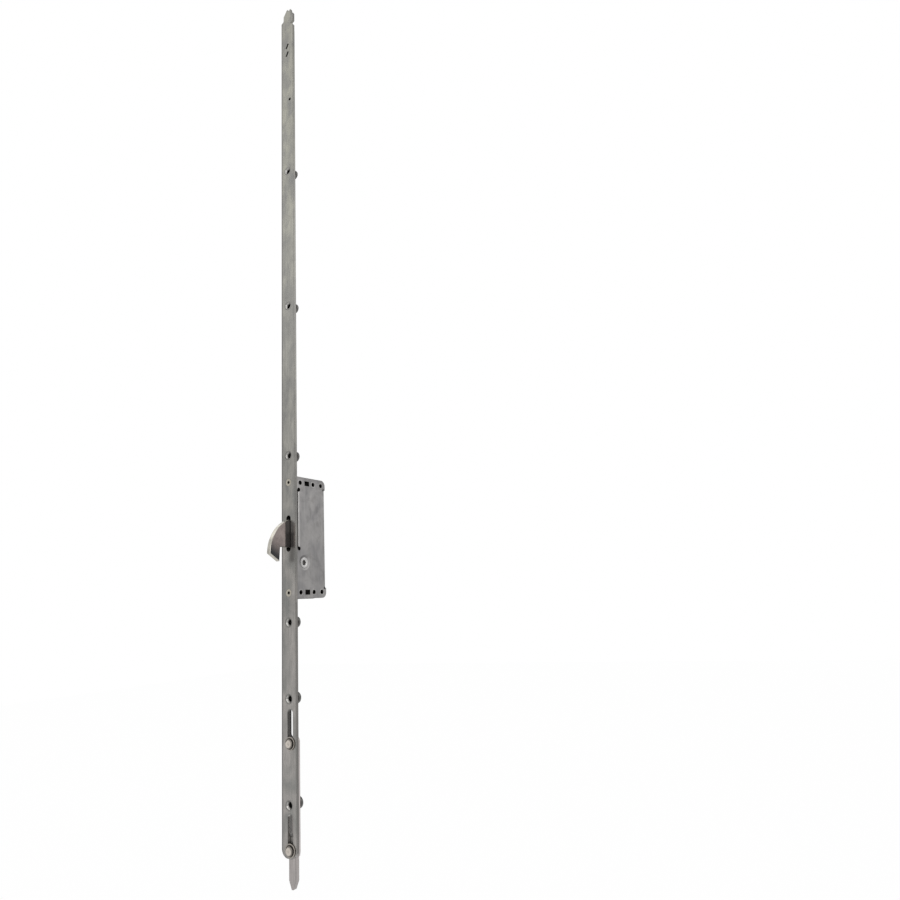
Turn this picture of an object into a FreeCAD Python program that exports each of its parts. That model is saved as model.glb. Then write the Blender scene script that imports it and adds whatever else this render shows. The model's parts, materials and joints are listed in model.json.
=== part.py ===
import FreeCAD, Part
import math
import os
import Sketcher

# Multipoint hook lock: a long faceplate, a drive rod that slides behind it, a case with a swinging
# hook, and a shoot bolt at the lower end. Millimetres. +Z runs up the lock, -Y is the front of the
# faceplate and the case reaches back along +Y. The pieces are drawn with Y = 0 on the faceplate's
# front face, and keep() then moves each of them forward by the plate's thickness, which puts the
# origin on the face that lies in the door, midway between the fixing screws. The lock is drawn
# locked: hook and bolt out.

doc = FreeCAD.newDocument("HookLock")
sheet = doc.addObject("Spreadsheet::Sheet", "Sizes")
pieces = []


class Size:
    """A length with its number and the spreadsheet expression that it comes from."""

    def __init__(self, value, text):
        self.value = value
        self.text = text

    def join(self, other, sign, value):
        return Size(value, "(" + self.text + sign + written(other) + ")")

    def __add__(self, other):
        return self.join(other, " + ", self.value + number(other))

    def __radd__(self, other):
        return self + other

    def __sub__(self, other):
        return self.join(other, " - ", self.value - number(other))

    def __rsub__(self, other):
        return Size(number(other) - self.value, "(" + written(other) + " - " + self.text + ")")

    def __mul__(self, other):
        return self.join(other, " * ", self.value * number(other))

    def __rmul__(self, other):
        return self * other

    def __truediv__(self, other):
        return self.join(other, " / ", self.value / number(other))

    def __neg__(self):
        return Size(-self.value, "(0 - " + self.text + ")")


def number(length):
    return length.value if isinstance(length, Size) else float(length)


def written(length):
    return length.text if isinstance(length, Size) else repr(float(length))


def size(alias, value):
    row = str(len(sheet_rows) + 1)
    sheet_rows.append(alias)
    sheet.set("A" + row, alias)
    sheet.set("B" + row, str(value))
    sheet.setAlias("B" + row, alias)
    return Size(float(value), "Sizes." + alias)


def bind(thing, path, length):
    thing.setExpression(path, written(length))


sheet_rows = []

# Faceplate
plate_width = size("plate_width", 20)
plate_thickness = size("plate_thickness", 3)
plate_top = size("plate_top", 510.5)
plate_bottom = size("plate_bottom", -493.5)
plate_corner = size("plate_corner", 8)
coupling_height = size("coupling_height", 27)
coupling_shoulder = size("coupling_shoulder", 9)
undercut_half = size("undercut_half", 6)
undercut_rise = size("undercut_rise", 4)
undercut_height = size("undercut_height", 6.8)
horn_root = size("horn_root", 6.7)
horn_half = size("horn_half", 6.2)
horn_drop = size("horn_drop", 1.4)
horn_width = size("horn_width", 2)
notch_depth = size("notch_depth", 2.8)
notch_slope = size("notch_slope", 0.5)
crown_right = size("crown_right", 1.2)
crown_left = size("crown_left", 0.6)
slant_half = size("slant_half", 6)
slant_height = size("slant_height", 7.2)
slant_spread = size("slant_spread", 0.5)
ledge_rise = size("ledge_rise", 10.2)
ledge_step = size("ledge_step", 1.8)
pilot_level = size("pilot_level", 372)
pilot_radius = size("pilot_radius", 1.8)
pilot_offset = size("pilot_offset", 4.2)
stake_level = size("stake_level", 448)
stake_pitch = size("stake_pitch", 12)
stake_length = size("stake_length", 7)
stake_width = size("stake_width", 2.6)
stake_tilt = size("stake_tilt", 30)

# Hollow guide studs
stud_pitch = size("stud_pitch", 180)
stud_five = size("stud_five", -346)
stud_six = size("stud_six", -446)
stud_collar = size("stud_collar", 4.9)
stud_sink = size("stud_sink", 4.2)
stud_bore = size("stud_bore", 2.3)
stud_neck = size("stud_neck", 3.4)
stud_head = size("stud_head", 6)
stud_head_thickness = size("stud_head_thickness", 4)
stud_stand = size("stud_stand", 1.1)
stud_chamfer = size("stud_chamfer", 0.8)
stud_lead = size("stud_lead", 0.6)

# Drive rod, its travel and what rides on it
rod_width = size("rod_width", 12)
rod_thickness = size("rod_thickness", 4)
rod_top = size("rod_top", 480)
rod_bottom = size("rod_bottom", -490.7)
rod_ramp = size("rod_ramp", 14)
rod_ramp_depth = size("rod_ramp_depth", 1.3)
track_wall = size("track_wall", 2)
window_below = size("window_below", 6)
window_above = size("window_above", 2)
travel = size("travel", 25)
cam_upper = size("cam_upper", -388.5)
cam_lower = size("cam_lower", -486)
cam_flange = size("cam_flange", 6.5)
cam_flange_thickness = size("cam_flange_thickness", 0.8)
cam_throat = size("cam_throat", 3.6)
cam_head = size("cam_head", 4.9)
cam_head_stand = size("cam_head_stand", 0.8)
cam_head_thickness = size("cam_head_thickness", 1.4)
cam_chamfer = size("cam_chamfer", 1.1)
cam_neck = size("cam_neck", 3.3)
cam_offset = size("cam_offset", 1.6)
cam_shank = size("cam_shank", 2.8)
cam_tail = size("cam_tail", 1.1)
cam_tail_spread = size("cam_tail_spread", 0.3)
cam_tail_chamfer = size("cam_tail_chamfer", 0.5)
cam_slot_spare = size("cam_slot_spare", 4)

# Shoot bolt
bolt_tip = size("bolt_tip", -522)
bolt_width = size("bolt_width", 9)
bolt_thickness = size("bolt_thickness", 4.7)
bolt_set_back = size("bolt_set_back", 0.8)
bolt_point = size("bolt_point", 8)
bolt_point_flat = size("bolt_point_flat", 2)
strap_width = size("strap_width", 11)
strap_thickness = size("strap_thickness", 2.5)
strap_neck_below = size("strap_neck_below", 4)
strap_neck_above = size("strap_neck_above", 2)
strap_end_round = size("strap_end_round", 5)
bolt_trim = size("bolt_trim", 2)

# Case
case_middle = size("case_middle", -180)
case_height = size("case_height", 132)
case_behind_pivot = size("case_behind_pivot", 33.7)
case_half = size("case_half", 7.5)
sheet_metal = size("sheet_metal", 1.2)
fold_radius = size("fold_radius", 2.2)
rear_fold_radius = size("rear_fold_radius", 1.4)
case_corner = size("case_corner", 6)
row_inset = size("row_inset", 6.5)
rear_inset = size("rear_inset", 0.9)
flange_room = size("flange_room", 0.4)
front_window_top = size("front_window_top", 14.5)
front_window_bottom = size("front_window_bottom", 53)
rear_window = size("rear_window", 11)
relief_radius = size("relief_radius", 2.1)
rear_relief_radius = size("rear_relief_radius", 1.2)
rear_relief_set = size("rear_relief_set", 1.7)
rivet_front_set = size("rivet_front_set", 3.3)
rivet_middle_set = size("rivet_middle_set", 23.5)
rivet_rear_inset = size("rivet_rear_inset", 7)
rivet_bore = size("rivet_bore", 2.1)
rivet_wall = size("rivet_wall", 0.5)
rivet_flange = size("rivet_flange", 3.4)
rivet_flange_height = size("rivet_flange_height", 0.25)
tab_hole_set = size("tab_hole_set", 13.7)
tab_hole_width = size("tab_hole_width", 7.2)
tab_hole_height = size("tab_hole_height", 5.2)
block_height = size("block_height", 14)
block_back_set = size("block_back_set", 0.4)
boss_radius = size("boss_radius", 3.4)
screw_radius = size("screw_radius", 2)
screw_head = size("screw_head", 4.1)
screw_socket = size("screw_socket", 1.25)
screw_socket_depth = size("screw_socket_depth", 1.7)
screw_socket_point = size("screw_socket_point", 0.5)
screw_end_chamfer = size("screw_end_chamfer", 0.4)

# Hook and what turns it
pivot_height = size("pivot_height", 38)
pivot_set = size("pivot_set", 9.2)
hook_thickness = size("hook_thickness", 5)
hook_swing = size("hook_swing", 58)
hook_reach = size("hook_reach", 45.3)
hook_shoulder = size("hook_shoulder", 49.5)
throat_height = size("throat_height", 16.3)
beak_width = size("beak_width", 14.5)
beak_taper = size("beak_taper", 1.1)
beak_tip_rise = size("beak_tip_rise", 1.2)
nose_rise = size("nose_rise", 9.2)
crown_angle = size("crown_angle", 137)
shoulder_angle = size("shoulder_angle", 111.5)
neck_front = size("neck_front", 13)
neck_waist = size("neck_waist", 9.2)
waist_rise = size("waist_rise", 10.1)
lobe_wall = size("lobe_wall", 3.2)
lobe_crest = size("lobe_crest", 9.5)
lobe_flank = size("lobe_flank", 2.6)
hook_chamfer = size("hook_chamfer", 0.45)
slot_bottom_height = size("slot_bottom_height", 12)
slot_top_height = size("slot_top_height", 51)
slot_gap = size("slot_gap", 0.6)
sleeve_radius = size("sleeve_radius", 4.2)
pivot_bore = size("pivot_bore", 2.6)
pivot_shank = size("pivot_shank", 3.4)
pivot_flange = size("pivot_flange", 5.7)
pivot_flange_height = size("pivot_flange_height", 0.6)
pivot_flare = size("pivot_flare", 1.3)
pivot_flare_depth = size("pivot_flare_depth", 0.7)
dish_radius = size("dish_radius", 8.2)
dish_depth = size("dish_depth", 0.45)
hub_radius = size("hub_radius", 8.5)
washer_radius = size("washer_radius", 5.6)
pin_radius = size("pin_radius", 2)
pin_back = size("pin_back", 18.3)
pin_rise = size("pin_rise", 3)
pin_head = size("pin_head", 2.8)
pin_head_height = size("pin_head_height", 1)
drive_plate_thickness = size("drive_plate_thickness", 1.8)
drive_plate_gap = size("drive_plate_gap", 0.4)
drive_column = size("drive_column", 2.8)
drive_arm_height = size("drive_arm_height", 12)
drive_arm_rise = size("drive_arm_rise", 4)
drive_corner = size("drive_corner", 4)
drive_eye = size("drive_eye", 4.6)
drive_tab_height = size("drive_tab_height", 8)

# Clearances
gap = size("gap", 0.3)
fit = size("fit", 0.05)

doc.recompute()

case_top = case_middle + case_height / 2
case_bottom = case_middle - case_height / 2
row_top = case_top - row_inset
row_bottom = case_bottom + row_inset
pivot_level = case_bottom + pivot_height
rod_front = plate_thickness + gap
rod_back = rod_front + rod_thickness
rod_half = rod_width / 2
cover_inner = case_half - sheet_metal
block_half = cover_inner - gap / 3
stud_levels = [1.5 * stud_pitch, 0.5 * stud_pitch, -0.5 * stud_pitch, -1.5 * stud_pitch, stud_five, stud_six]
track_half = stud_neck + gap
pivot_depth = rod_back + pivot_set
case_depth = pivot_depth + case_behind_pivot
rivet_front = rod_back + rivet_front_set
rivet_middle = rod_back + rivet_middle_set
rivet_rear = case_depth - rivet_rear_inset
tab_hole_middle = rod_back + tab_hole_set
front_flange_depth = rod_back + flange_room
drive_plate_outer = hook_thickness / 2 + drive_plate_gap + drive_plate_thickness


def box(name, x_range, y_range, z_range):
    """A block between two planes on each axis."""
    block = doc.addObject("Part::Box", name)
    for side, corner, ends in (("Length", "x", x_range), ("Width", "y", y_range), ("Height", "z", z_range)):
        bind(block, side, ends[1] - ends[0])
        bind(block, "Placement.Base." + corner, ends[0])
    return block


def rod_along(kind, name, axis, centre, start):
    """A round primitive that starts at start and points along axis X or Y, or up Z."""
    turned_about = {"X": (FreeCAD.Vector(0, 1, 0), 90), "Y": (FreeCAD.Vector(1, 0, 0), -90),
                    "Z": (FreeCAD.Vector(0, 0, 1), 0)}
    direction, angle = turned_about[axis]
    solid = doc.addObject(kind, name)
    solid.Placement = FreeCAD.Placement(FreeCAD.Vector(), FreeCAD.Rotation(direction, angle))
    places = dict(centre)
    places[axis] = start
    for letter in "XYZ":
        bind(solid, "Placement.Base." + letter.lower(), places[letter])
    return solid


def cylinder(name, axis, centre, radius, start, end):
    solid = rod_along("Part::Cylinder", name, axis, centre, start)
    bind(solid, "Radius", radius)
    bind(solid, "Height", end - start)
    return solid


def cone(name, axis, centre, start_radius, end_radius, start, end):
    solid = rod_along("Part::Cone", name, axis, centre, start)
    bind(solid, "Radius1", start_radius)
    bind(solid, "Radius2", end_radius)
    bind(solid, "Height", end - start)
    return solid


def fuse(name, solids):
    joined = doc.addObject("Part::MultiFuse", name)
    joined.Shapes = solids
    return joined


def cut(name, base, tools):
    result = doc.addObject("Part::Cut", name)
    result.Base = base
    result.Tool = tools[0] if len(tools) == 1 else fuse(name + "_tools", tools)
    return result


def slot(name, half_width, y_range, low, high, x=0):
    """A slot through a plate, with round ends centred on the low and high levels."""
    bar = box(name + "_bar", (x - half_width, x + half_width), y_range, (low, high))
    ends = [cylinder(name + "_end_%d" % index, "Y", {"X": x, "Z": level}, half_width, y_range[0], y_range[1])
            for index, level in enumerate((low, high))]
    return fuse(name, [bar] + ends)


def outline(body, role, points):
    """A closed outline on one of the body's own planes, each corner held by two lengths."""
    plane = [feature for feature in body.Origin.OriginFeatures if feature.Role == role][0]
    sketch = body.newObject("Sketcher::SketchObject", body.Name + "_outline")
    sketch.AttachmentSupport = [(plane, "")]
    sketch.MapMode = "FlatFace"
    corners = [FreeCAD.Vector(number(across), number(up), 0) for across, up in points]
    count = len(corners)
    for index in range(count):
        sketch.addGeometry(Part.LineSegment(corners[index], corners[(index + 1) % count]), False)
    for index in range(count):
        sketch.addConstraint(Sketcher.Constraint("Coincident", index, 2, (index + 1) % count, 1))
    for index, corner in enumerate(points):
        for kind, axis, length in (("DistanceX", -2, corner[0]), ("DistanceY", -1, corner[1])):
            if not isinstance(length, Size) and length == 0:
                sketch.addConstraint(Sketcher.Constraint("PointOnObject", index, 1, axis))
                continue
            held = sketch.addConstraint(Sketcher.Constraint(kind, -1, 1, index, 1, number(length)))
            sketch.setExpression("Constraints[%d]" % held, written(length))
    return sketch


def plate(name, role, points, start, length):
    """A flat piece: an outline padded by length from the start plane, along +Y or +X."""
    body = doc.addObject("PartDesign::Body", name)
    sketch = outline(body, role, points)
    pad = body.newObject("PartDesign::Pad", name + "_pad")
    pad.Profile = sketch
    pad.Reversed = role == "XZ_Plane"
    bind(pad, "Length", length)
    bind(body, "Placement.Base." + {"XZ_Plane": "y", "YZ_Plane": "x", "XY_Plane": "z"}[role], start)
    body.Tip = pad
    return body


def rounded(body, corners, radius):
    """Round the padded edges that stand on the given outline corners."""
    doc.recompute()
    pad = body.Tip
    plane = pad.Profile[0].AttachmentSupport[0][0].Role
    flat = {"XZ_Plane": (0, 2), "YZ_Plane": (1, 2), "XY_Plane": (0, 1)}[plane]
    names = []
    for index, edge in enumerate(pad.Shape.Edges):
        ends = [vertex.Point for vertex in edge.Vertexes]
        if len(ends) != 2:
            continue
        for corner in corners:
            gaps = [abs(end[axis] - number(place)) for end in ends for axis, place in zip(flat, corner)]
            if max(gaps) < 0.01:
                names.append("Edge%d" % (index + 1))
    fillet = body.newObject("PartDesign::Fillet", body.Name + "_round")
    fillet.Base = (pad, names)
    bind(fillet, "Radius", radius)
    body.Tip = fillet
    return body


def turned(name, points, level):
    """A piece turned about an axis along Y at the given level; points are radius and depth."""
    body = doc.addObject("PartDesign::Body", name)
    sketch = outline(body, "XY_Plane", points)
    revolution = body.newObject("PartDesign::Revolution", name + "_turning")
    revolution.Profile = sketch
    revolution.ReferenceAxis = (sketch, ["V_Axis"])
    revolution.Angle = 360
    bind(body, "Placement.Base.z", level)
    body.Tip = revolution
    return body


def keep(label, thing, depth=0):
    """Name a finished piece and put it at its depth, counted from the faceplate's rear face."""
    thing.Label = label
    bind(thing, "Placement.Base.y", depth - plate_thickness)
    pieces.append((label, thing))


def faceplate():
    half = plate_width / 2
    top = plate_top
    foot = top - coupling_height
    shoulder = top - coupling_shoulder
    horn_inner = horn_half - horn_width
    notch = top - notch_depth
    points = [(-half, plate_bottom), (half, plate_bottom), (half, foot),
              (undercut_half, foot + undercut_rise), (half, foot + undercut_height), (half, shoulder),
              (horn_root, shoulder), (horn_half, top - horn_drop), (horn_inner, top - horn_drop),
              (horn_inner - notch_slope, notch), (crown_right + notch_slope, notch), (crown_right, top),
              (-crown_left, top), (-slant_half, top - slant_height),
              (-slant_half - slant_spread, foot + ledge_rise + ledge_step), (-half, foot + ledge_rise)]
    body = plate("plate_blank", "XZ_Plane", points, 0, plate_thickness)
    rounded(body, points[:2], plate_corner)
    through = (-1, plate_thickness + 1)
    tools = []
    for index, level in enumerate(stud_levels):
        centre = {"X": 0, "Z": level}
        tools.append(cylinder("stud_seat_%d" % (index + 1), "Y", centre, stud_collar, *through))
    for name, level in (("upper", row_top), ("lower", row_bottom)):
        centre = {"X": 0, "Z": level}
        tools.append(cylinder("screw_way_" + name, "Y", centre, screw_radius + fit, *through))
        tools.append(cone("screw_sink_" + name, "Y", centre, screw_head + fit, screw_radius + fit,
                          0, screw_head - screw_radius))
    centre = {"X": pilot_offset, "Z": pilot_level}
    tools.append(cylinder("pilot", "Y", centre, pilot_radius, *through))
    hook_half = hook_thickness / 2 + slot_gap
    low = pivot_level + slot_bottom_height + hook_half
    high = pivot_level + slot_top_height - hook_half
    tools.append(slot("hook_way", hook_half, through, low, high))
    for name, level in (("upper", cam_upper), ("lower", cam_lower)):
        high = level + travel + cam_slot_spare
        tools.append(slot("cam_way_" + name, cam_neck + gap, through, level, high, cam_offset))
    for index in range(2):
        middle = stake_level + (0.5 - index) * stake_pitch
        mark = box("stake_%d" % (index + 1), (-stake_width / 2, stake_width / 2), through,
                   (-stake_length / 2, stake_length / 2))
        leaning = doc.addObject("Part::Compound", "stake_leaning_%d" % (index + 1))
        leaning.Links = [mark]
        leaning.Placement.Rotation = FreeCAD.Rotation(FreeCAD.Vector(0, 1, 0), 1)
        bind(leaning, "Placement.Rotation.Angle", stake_tilt)
        bind(leaning, "Placement.Base.z", middle)
        tools.append(leaning)
    keep("faceplate", cut("plate_cut", body, tools))


def guide_stud(index, level, head_start):
    sink_depth = stud_sink - stud_bore
    end = head_start + stud_head_thickness
    points = [(stud_sink, 0), (stud_collar - fit, 0), (stud_collar - fit, plate_thickness),
              (stud_neck, plate_thickness), (stud_neck, head_start), (stud_head, head_start),
              (stud_head, end - stud_chamfer), (stud_head - stud_chamfer, end),
              (stud_bore + stud_lead, end), (stud_bore, end - stud_lead), (stud_bore, sink_depth)]
    keep("guide_stud_%d" % index, turned("stud_%d" % index, points, level))


def drive_rod():
    points = [(-rod_half, rod_bottom), (rod_half, rod_bottom), (rod_half, rod_top), (-rod_half, rod_top)]
    body = plate("rod_blank", "XZ_Plane", points, rod_front, rod_thickness)
    through = (rod_front - 1, rod_back + 1)
    tools = []
    for index, level in enumerate(stud_levels + [row_top, row_bottom]):
        low = level - travel
        if index == 4:
            low = cam_upper + cam_shank + track_wall + track_half
        tools.append(slot("rod_track_%d" % (index + 1), track_half, through, low, level))
    hook_half = hook_thickness / 2 + slot_gap
    window_foot = pivot_level - window_below
    window_head = pivot_level + hook_shoulder + window_above
    tools.append(box("rod_window", (-hook_half, hook_half), through, (window_foot, window_head)))
    for name, level in (("upper", cam_upper), ("lower", cam_lower)):
        centre = {"X": cam_offset, "Z": level}
        tools.append(cylinder("cam_seat_" + name, "Y", centre, cam_shank + fit, *through))
    notch_foot = case_bottom + block_height + gap
    inner = hook_thickness / 2 + drive_plate_gap - gap
    for name, side in (("right", 1), ("left", -1)):
        ends = (inner, rod_half + 1) if side == 1 else (-rod_half - 1, -inner)
        levels = (notch_foot, notch_foot + drive_tab_height + 2 * gap)
        tools.append(box("rod_notch_" + name, ends, through, levels))
    points = [(rod_front - 1, rod_top - rod_ramp), (rod_front, rod_top - rod_ramp),
              (rod_front + rod_ramp_depth, rod_top), (rod_front - 1, rod_top)]
    tools.append(plate("rod_ramp_wedge", "YZ_Plane", points, -rod_half - 1, rod_width + 2))
    keep("drive_rod", cut("rod_cut", body, tools))


def cam_button(name, level):
    strap_back = rod_back + fit + strap_thickness
    tail_back = strap_back + cam_tail
    flange_front = -gap - cam_flange_thickness
    head_back = flange_front - cam_head_stand
    outer = head_back - cam_head_thickness
    tail = cam_shank + cam_tail_spread
    points = [(0, outer), (cam_head - cam_chamfer, outer), (cam_head, outer + cam_chamfer),
              (cam_head, head_back), (cam_throat, flange_front), (cam_flange, flange_front),
              (cam_flange, -gap), (cam_neck, -gap), (cam_neck, rod_front), (cam_shank, rod_front),
              (cam_shank, strap_back), (tail, strap_back + fit), (tail, tail_back - cam_tail_chamfer),
              (cam_shank - cam_tail_chamfer, tail_back), (0, tail_back)]
    button = turned("cam_" + name, points, level)
    bind(button, "Placement.Base.x", cam_offset)
    keep("cam_button_" + name, button)


def shoot_bolt():
    front = rod_front + bolt_set_back
    back = front + bolt_thickness
    strap_front = rod_back + fit
    strap_back = strap_front + strap_thickness
    shoulder = rod_bottom - gap
    strap_top = cam_upper + strap_width / 2
    half = bolt_width / 2
    tip_half = bolt_point_flat / 2
    points = [(-tip_half, bolt_tip), (tip_half, bolt_tip), (half, bolt_tip + bolt_point),
              (half, shoulder), (-half, shoulder), (-half, bolt_tip + bolt_point)]
    tongue = plate("bolt_tongue", "XZ_Plane", points, front, bolt_thickness)
    neck_foot = shoulder - strap_neck_below
    neck_head = shoulder + strap_neck_above
    strap_half = strap_width / 2
    points = [(-half, neck_foot), (half, neck_foot), (strap_half, neck_head), (strap_half, strap_top),
              (-strap_half, strap_top), (-strap_half, neck_head)]
    strap = plate("bolt_strap", "XZ_Plane", points, strap_front, strap_thickness)
    rounded(strap, points[3:5], strap_end_round)
    body = fuse("bolt_blank", [tongue, strap])
    through = (rod_back - 1, strap_back + 1)
    tools = [slot("strap_track", track_half, through, stud_six - travel, stud_six)]
    for name, level in (("upper", cam_upper), ("lower", cam_lower)):
        centre = {"X": cam_offset, "Z": level}
        tools.append(cylinder("strap_seat_" + name, "Y", centre, cam_shank + fit, *through))
    behind = (back, strap_back + 1)
    tools.append(box("bolt_back", (-half - 1, half + 1), behind, (bolt_tip, shoulder - bolt_trim)))
    keep("shoot_bolt", cut("bolt_cut", body, tools))


def fold_corner(name, side, depth, turn, radius, levels):
    """What a rounded fold leaves out of the square corner at this depth; turn is the way into the case."""
    beyond = case_half + 1
    near = case_half - radius
    across = (near, beyond) if side == 1 else (-beyond, -near)
    along = (depth - 1, depth + radius) if turn == 1 else (depth - radius, depth + 1)
    square = box(name + "_square", across, along, levels)
    centre = {"X": near if side == 1 else -near, "Y": depth + radius if turn == 1 else depth - radius}
    return cut(name, square, [cylinder(name + "_round", "Z", centre, radius, *levels)])


def cover(name, side):
    """One side of the case. The right one is bent round the back, the left one lies flat."""
    low, high = case_bottom, case_top
    front_low, front_high = low + front_window_bottom, high - front_window_top
    rear_low, rear_high = low + rear_window, high - rear_window
    rear_face = case_depth - rear_inset
    start = cover_inner if side == 1 else -case_half
    points = [(plate_thickness, low), (case_depth, low), (case_depth, rear_low),
              (rear_face, rear_low), (rear_face, rear_high), (case_depth, rear_high),
              (case_depth, high), (plate_thickness, high), (plate_thickness, front_high),
              (front_flange_depth, front_high), (front_flange_depth, front_low),
              (plate_thickness, front_low)]
    side_plate = plate("cover_side_" + name, "YZ_Plane", points, start, sheet_metal)
    rounded(side_plate, [points[1], points[6]], case_corner)
    flange_end = drive_plate_outer + gap
    ends = (flange_end, case_half) if side == 1 else (-case_half, -flange_end)
    flange = (front_flange_depth, front_flange_depth + sheet_metal)
    parts = [side_plate, box("cover_front_" + name, ends, flange, (front_low, front_high))]
    if side == 1:
        flange = (rear_face - sheet_metal, rear_face)
        ends = (-cover_inner + fit, case_half)
        parts.append(box("cover_rear_" + name, ends, flange, (rear_low, rear_high)))
    across = (start - 1, start + sheet_metal + 1)
    tools = []
    for index, level in enumerate((row_bottom, row_top)):
        for place in (rivet_front, rivet_middle, rivet_rear):
            centre = {"Y": place, "Z": level}
            tools.append(cylinder("cover_hole_%s_%d" % (name, len(tools)), "X", centre,
                                  rivet_bore + rivet_wall + fit, *across))
        tools.append(box("cover_tab_%s_%d" % (name, index), across,
                         (tab_hole_middle - tab_hole_width / 2, tab_hole_middle + tab_hole_width / 2),
                         (level - tab_hole_height / 2, level + tab_hole_height / 2)))
    centre = {"Y": pivot_depth, "Z": pivot_level}
    tools.append(cylinder("cover_pivot_" + name, "X", centre, pivot_shank + fit, *across))
    dished = case_half - dish_depth
    dish = (dished, case_half + 1) if side == 1 else (-case_half - 1, -dished)
    tools.append(cylinder("cover_dish_" + name, "X", centre, dish_radius, *dish))
    reach = (flange_end - 1, case_half + 1) if side == 1 else (-case_half - 1, 1 - flange_end)
    for index, level in enumerate((front_low, front_high)):
        centre = {"Y": front_flange_depth + sheet_metal / 2, "Z": level}
        tools.append(cylinder("cover_relief_%s_%d" % (name, index), "X", centre, relief_radius, *reach))
    levels = (front_low, front_high)
    tools.append(fold_corner("fold_front_" + name, side, front_flange_depth, 1, fold_radius, levels))
    if side == 1:
        levels = (rear_low, rear_high)
        tools.append(fold_corner("fold_rear_" + name, side, rear_face, -1, rear_fold_radius, levels))
    for index, level in enumerate((rear_low, rear_high)):
        centre = {"Y": rear_face - rear_relief_set, "Z": level}
        tools.append(cylinder("cover_rear_relief_%s_%d" % (name, index), "X", centre,
                              rear_relief_radius, *across))
    keep("case_cover_" + name, cut("cover_cut_" + name, fuse("cover_blank_" + name, parts), tools))


def case_block(name, level, end):
    """The spacer between the two sides, with a boss that reaches the faceplate."""
    low, high = end + gap, end + block_height
    if name == "top":
        low, high = end - block_height, end - gap
    back = case_depth - block_back_set
    points = [(rod_back + gap, low), (back, low), (back, high), (rod_back + gap, high)]
    body = plate("block_" + name, "YZ_Plane", points, -block_half, block_half * 2)
    corner = points[2] if name == "top" else points[1]
    rounded(body, [corner], case_corner)
    centre = {"X": 0, "Z": level}
    boss = cylinder("block_boss_" + name, "Y", centre, boss_radius, plate_thickness, rod_back + 1)
    across = (-block_half - 1, block_half + 1)
    tools = [cylinder("block_thread_" + name, "Y", centre, screw_radius + fit,
                      plate_thickness - 1, rod_back + gap)]
    for place in (rivet_front, rivet_middle, rivet_rear):
        centre = {"Y": place, "Z": level}
        tools.append(cylinder("block_hole_%s_%d" % (name, len(tools)), "X", centre,
                              rivet_bore + rivet_wall + fit, *across))
    tools.append(box("block_tab_" + name, across,
                     (tab_hole_middle - tab_hole_width / 2, tab_hole_middle + tab_hole_width / 2),
                     (level - tab_hole_height / 2, level + tab_hole_height / 2)))
    step = (low - 1, case_top - rear_window)
    if name == "bottom":
        step = (case_bottom + rear_window, high + 1)
    behind = (case_depth - rear_inset - sheet_metal - fit, case_depth + 1)
    tools.append(box("block_step_" + name, across, behind, step))
    keep("case_block_" + name, cut("block_cut_" + name, fuse("block_blank_" + name, [body, boss]), tools))


def tube(name, level, place, radii, flange_height):
    """A hollow rivet across the case with a rim on each side."""
    bore, shank, flange = radii
    centre = {"Y": place, "Z": level}
    end = case_half + flange_height
    body = cylinder(name + "_shank", "X", centre, shank, -end, end)
    rims = [cylinder(name + "_rim_right", "X", centre, flange, case_half, end),
            cylinder(name + "_rim_left", "X", centre, flange, -end, -case_half)]
    hole = cylinder(name + "_bore", "X", centre, bore, -case_half - 2, case_half + 2)
    return cut(name, fuse(name + "_blank", [body] + rims), [hole])


def case_rivets(name, level):
    radii = (rivet_bore, rivet_bore + rivet_wall, rivet_flange)
    tubes = [tube("rivet_%s_%d" % (name, index), level, place, radii, rivet_flange_height)
             for index, place in enumerate((rivet_front, rivet_middle, rivet_rear))]
    group = doc.addObject("Part::Compound", "rivets_" + name)
    group.Links = tubes
    keep("case_rivets_" + name, group)


def case_screw(name, level):
    end = rod_back - gap
    points = [(screw_socket, 0), (screw_head, 0), (screw_radius, screw_head - screw_radius),
              (screw_radius, end - screw_end_chamfer), (screw_radius - screw_end_chamfer, end), (0, end),
              (0, screw_socket_depth + screw_socket_point), (screw_socket, screw_socket_depth)]
    keep("case_screw_" + name, turned("screw_" + name, points, level))


def pin_path(share):
    """Where the drive pin lies in the locked hook's own frame, as a share of the travel."""
    angle = math.radians(number(hook_swing)) * share
    back = number(pin_back)
    rise = number(pin_rise) + number(travel) * share
    return FreeCAD.Vector(0, back * math.cos(angle) - rise * math.sin(angle),
                          back * math.sin(angle) + rise * math.cos(angle))


def pin_slot(half_width, low, high):
    """The curved slot in the hook that the drive pin runs in, as a solid between two X planes."""
    steps = 12
    path = [pin_path(index / steps) for index in range(steps + 1)]
    run = Part.BSplineCurve()
    run.interpolate(path)
    sides = []
    for sign in (1, -1):
        flank = []
        for index, point in enumerate(path):
            along = run.tangent(run.parameter(point))[0]
            flank.append(point + FreeCAD.Vector(0, -along.z, along.y) * (sign * half_width))
        curve = Part.BSplineCurve()
        curve.interpolate(flank)
        sides.append((flank, curve))
    (left_points, left), (right_points, right) = sides
    first = run.tangent(run.FirstParameter)[0]
    last = run.tangent(run.LastParameter)[0]
    start_cap = Part.Arc(left_points[0], path[0] - first * half_width, right_points[0])
    end_cap = Part.Arc(left_points[-1], path[-1] + last * half_width, right_points[-1])
    flanks = [curve.toShape() for curve in (left, end_cap, right, start_cap)]
    wire = Part.Wire(Part.__sortEdges__(flanks))
    face = Part.Face(wire)
    face.translate(FreeCAD.Vector(low, 0, 0))
    return face.extrude(FreeCAD.Vector(high - low, 0, 0))


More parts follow.
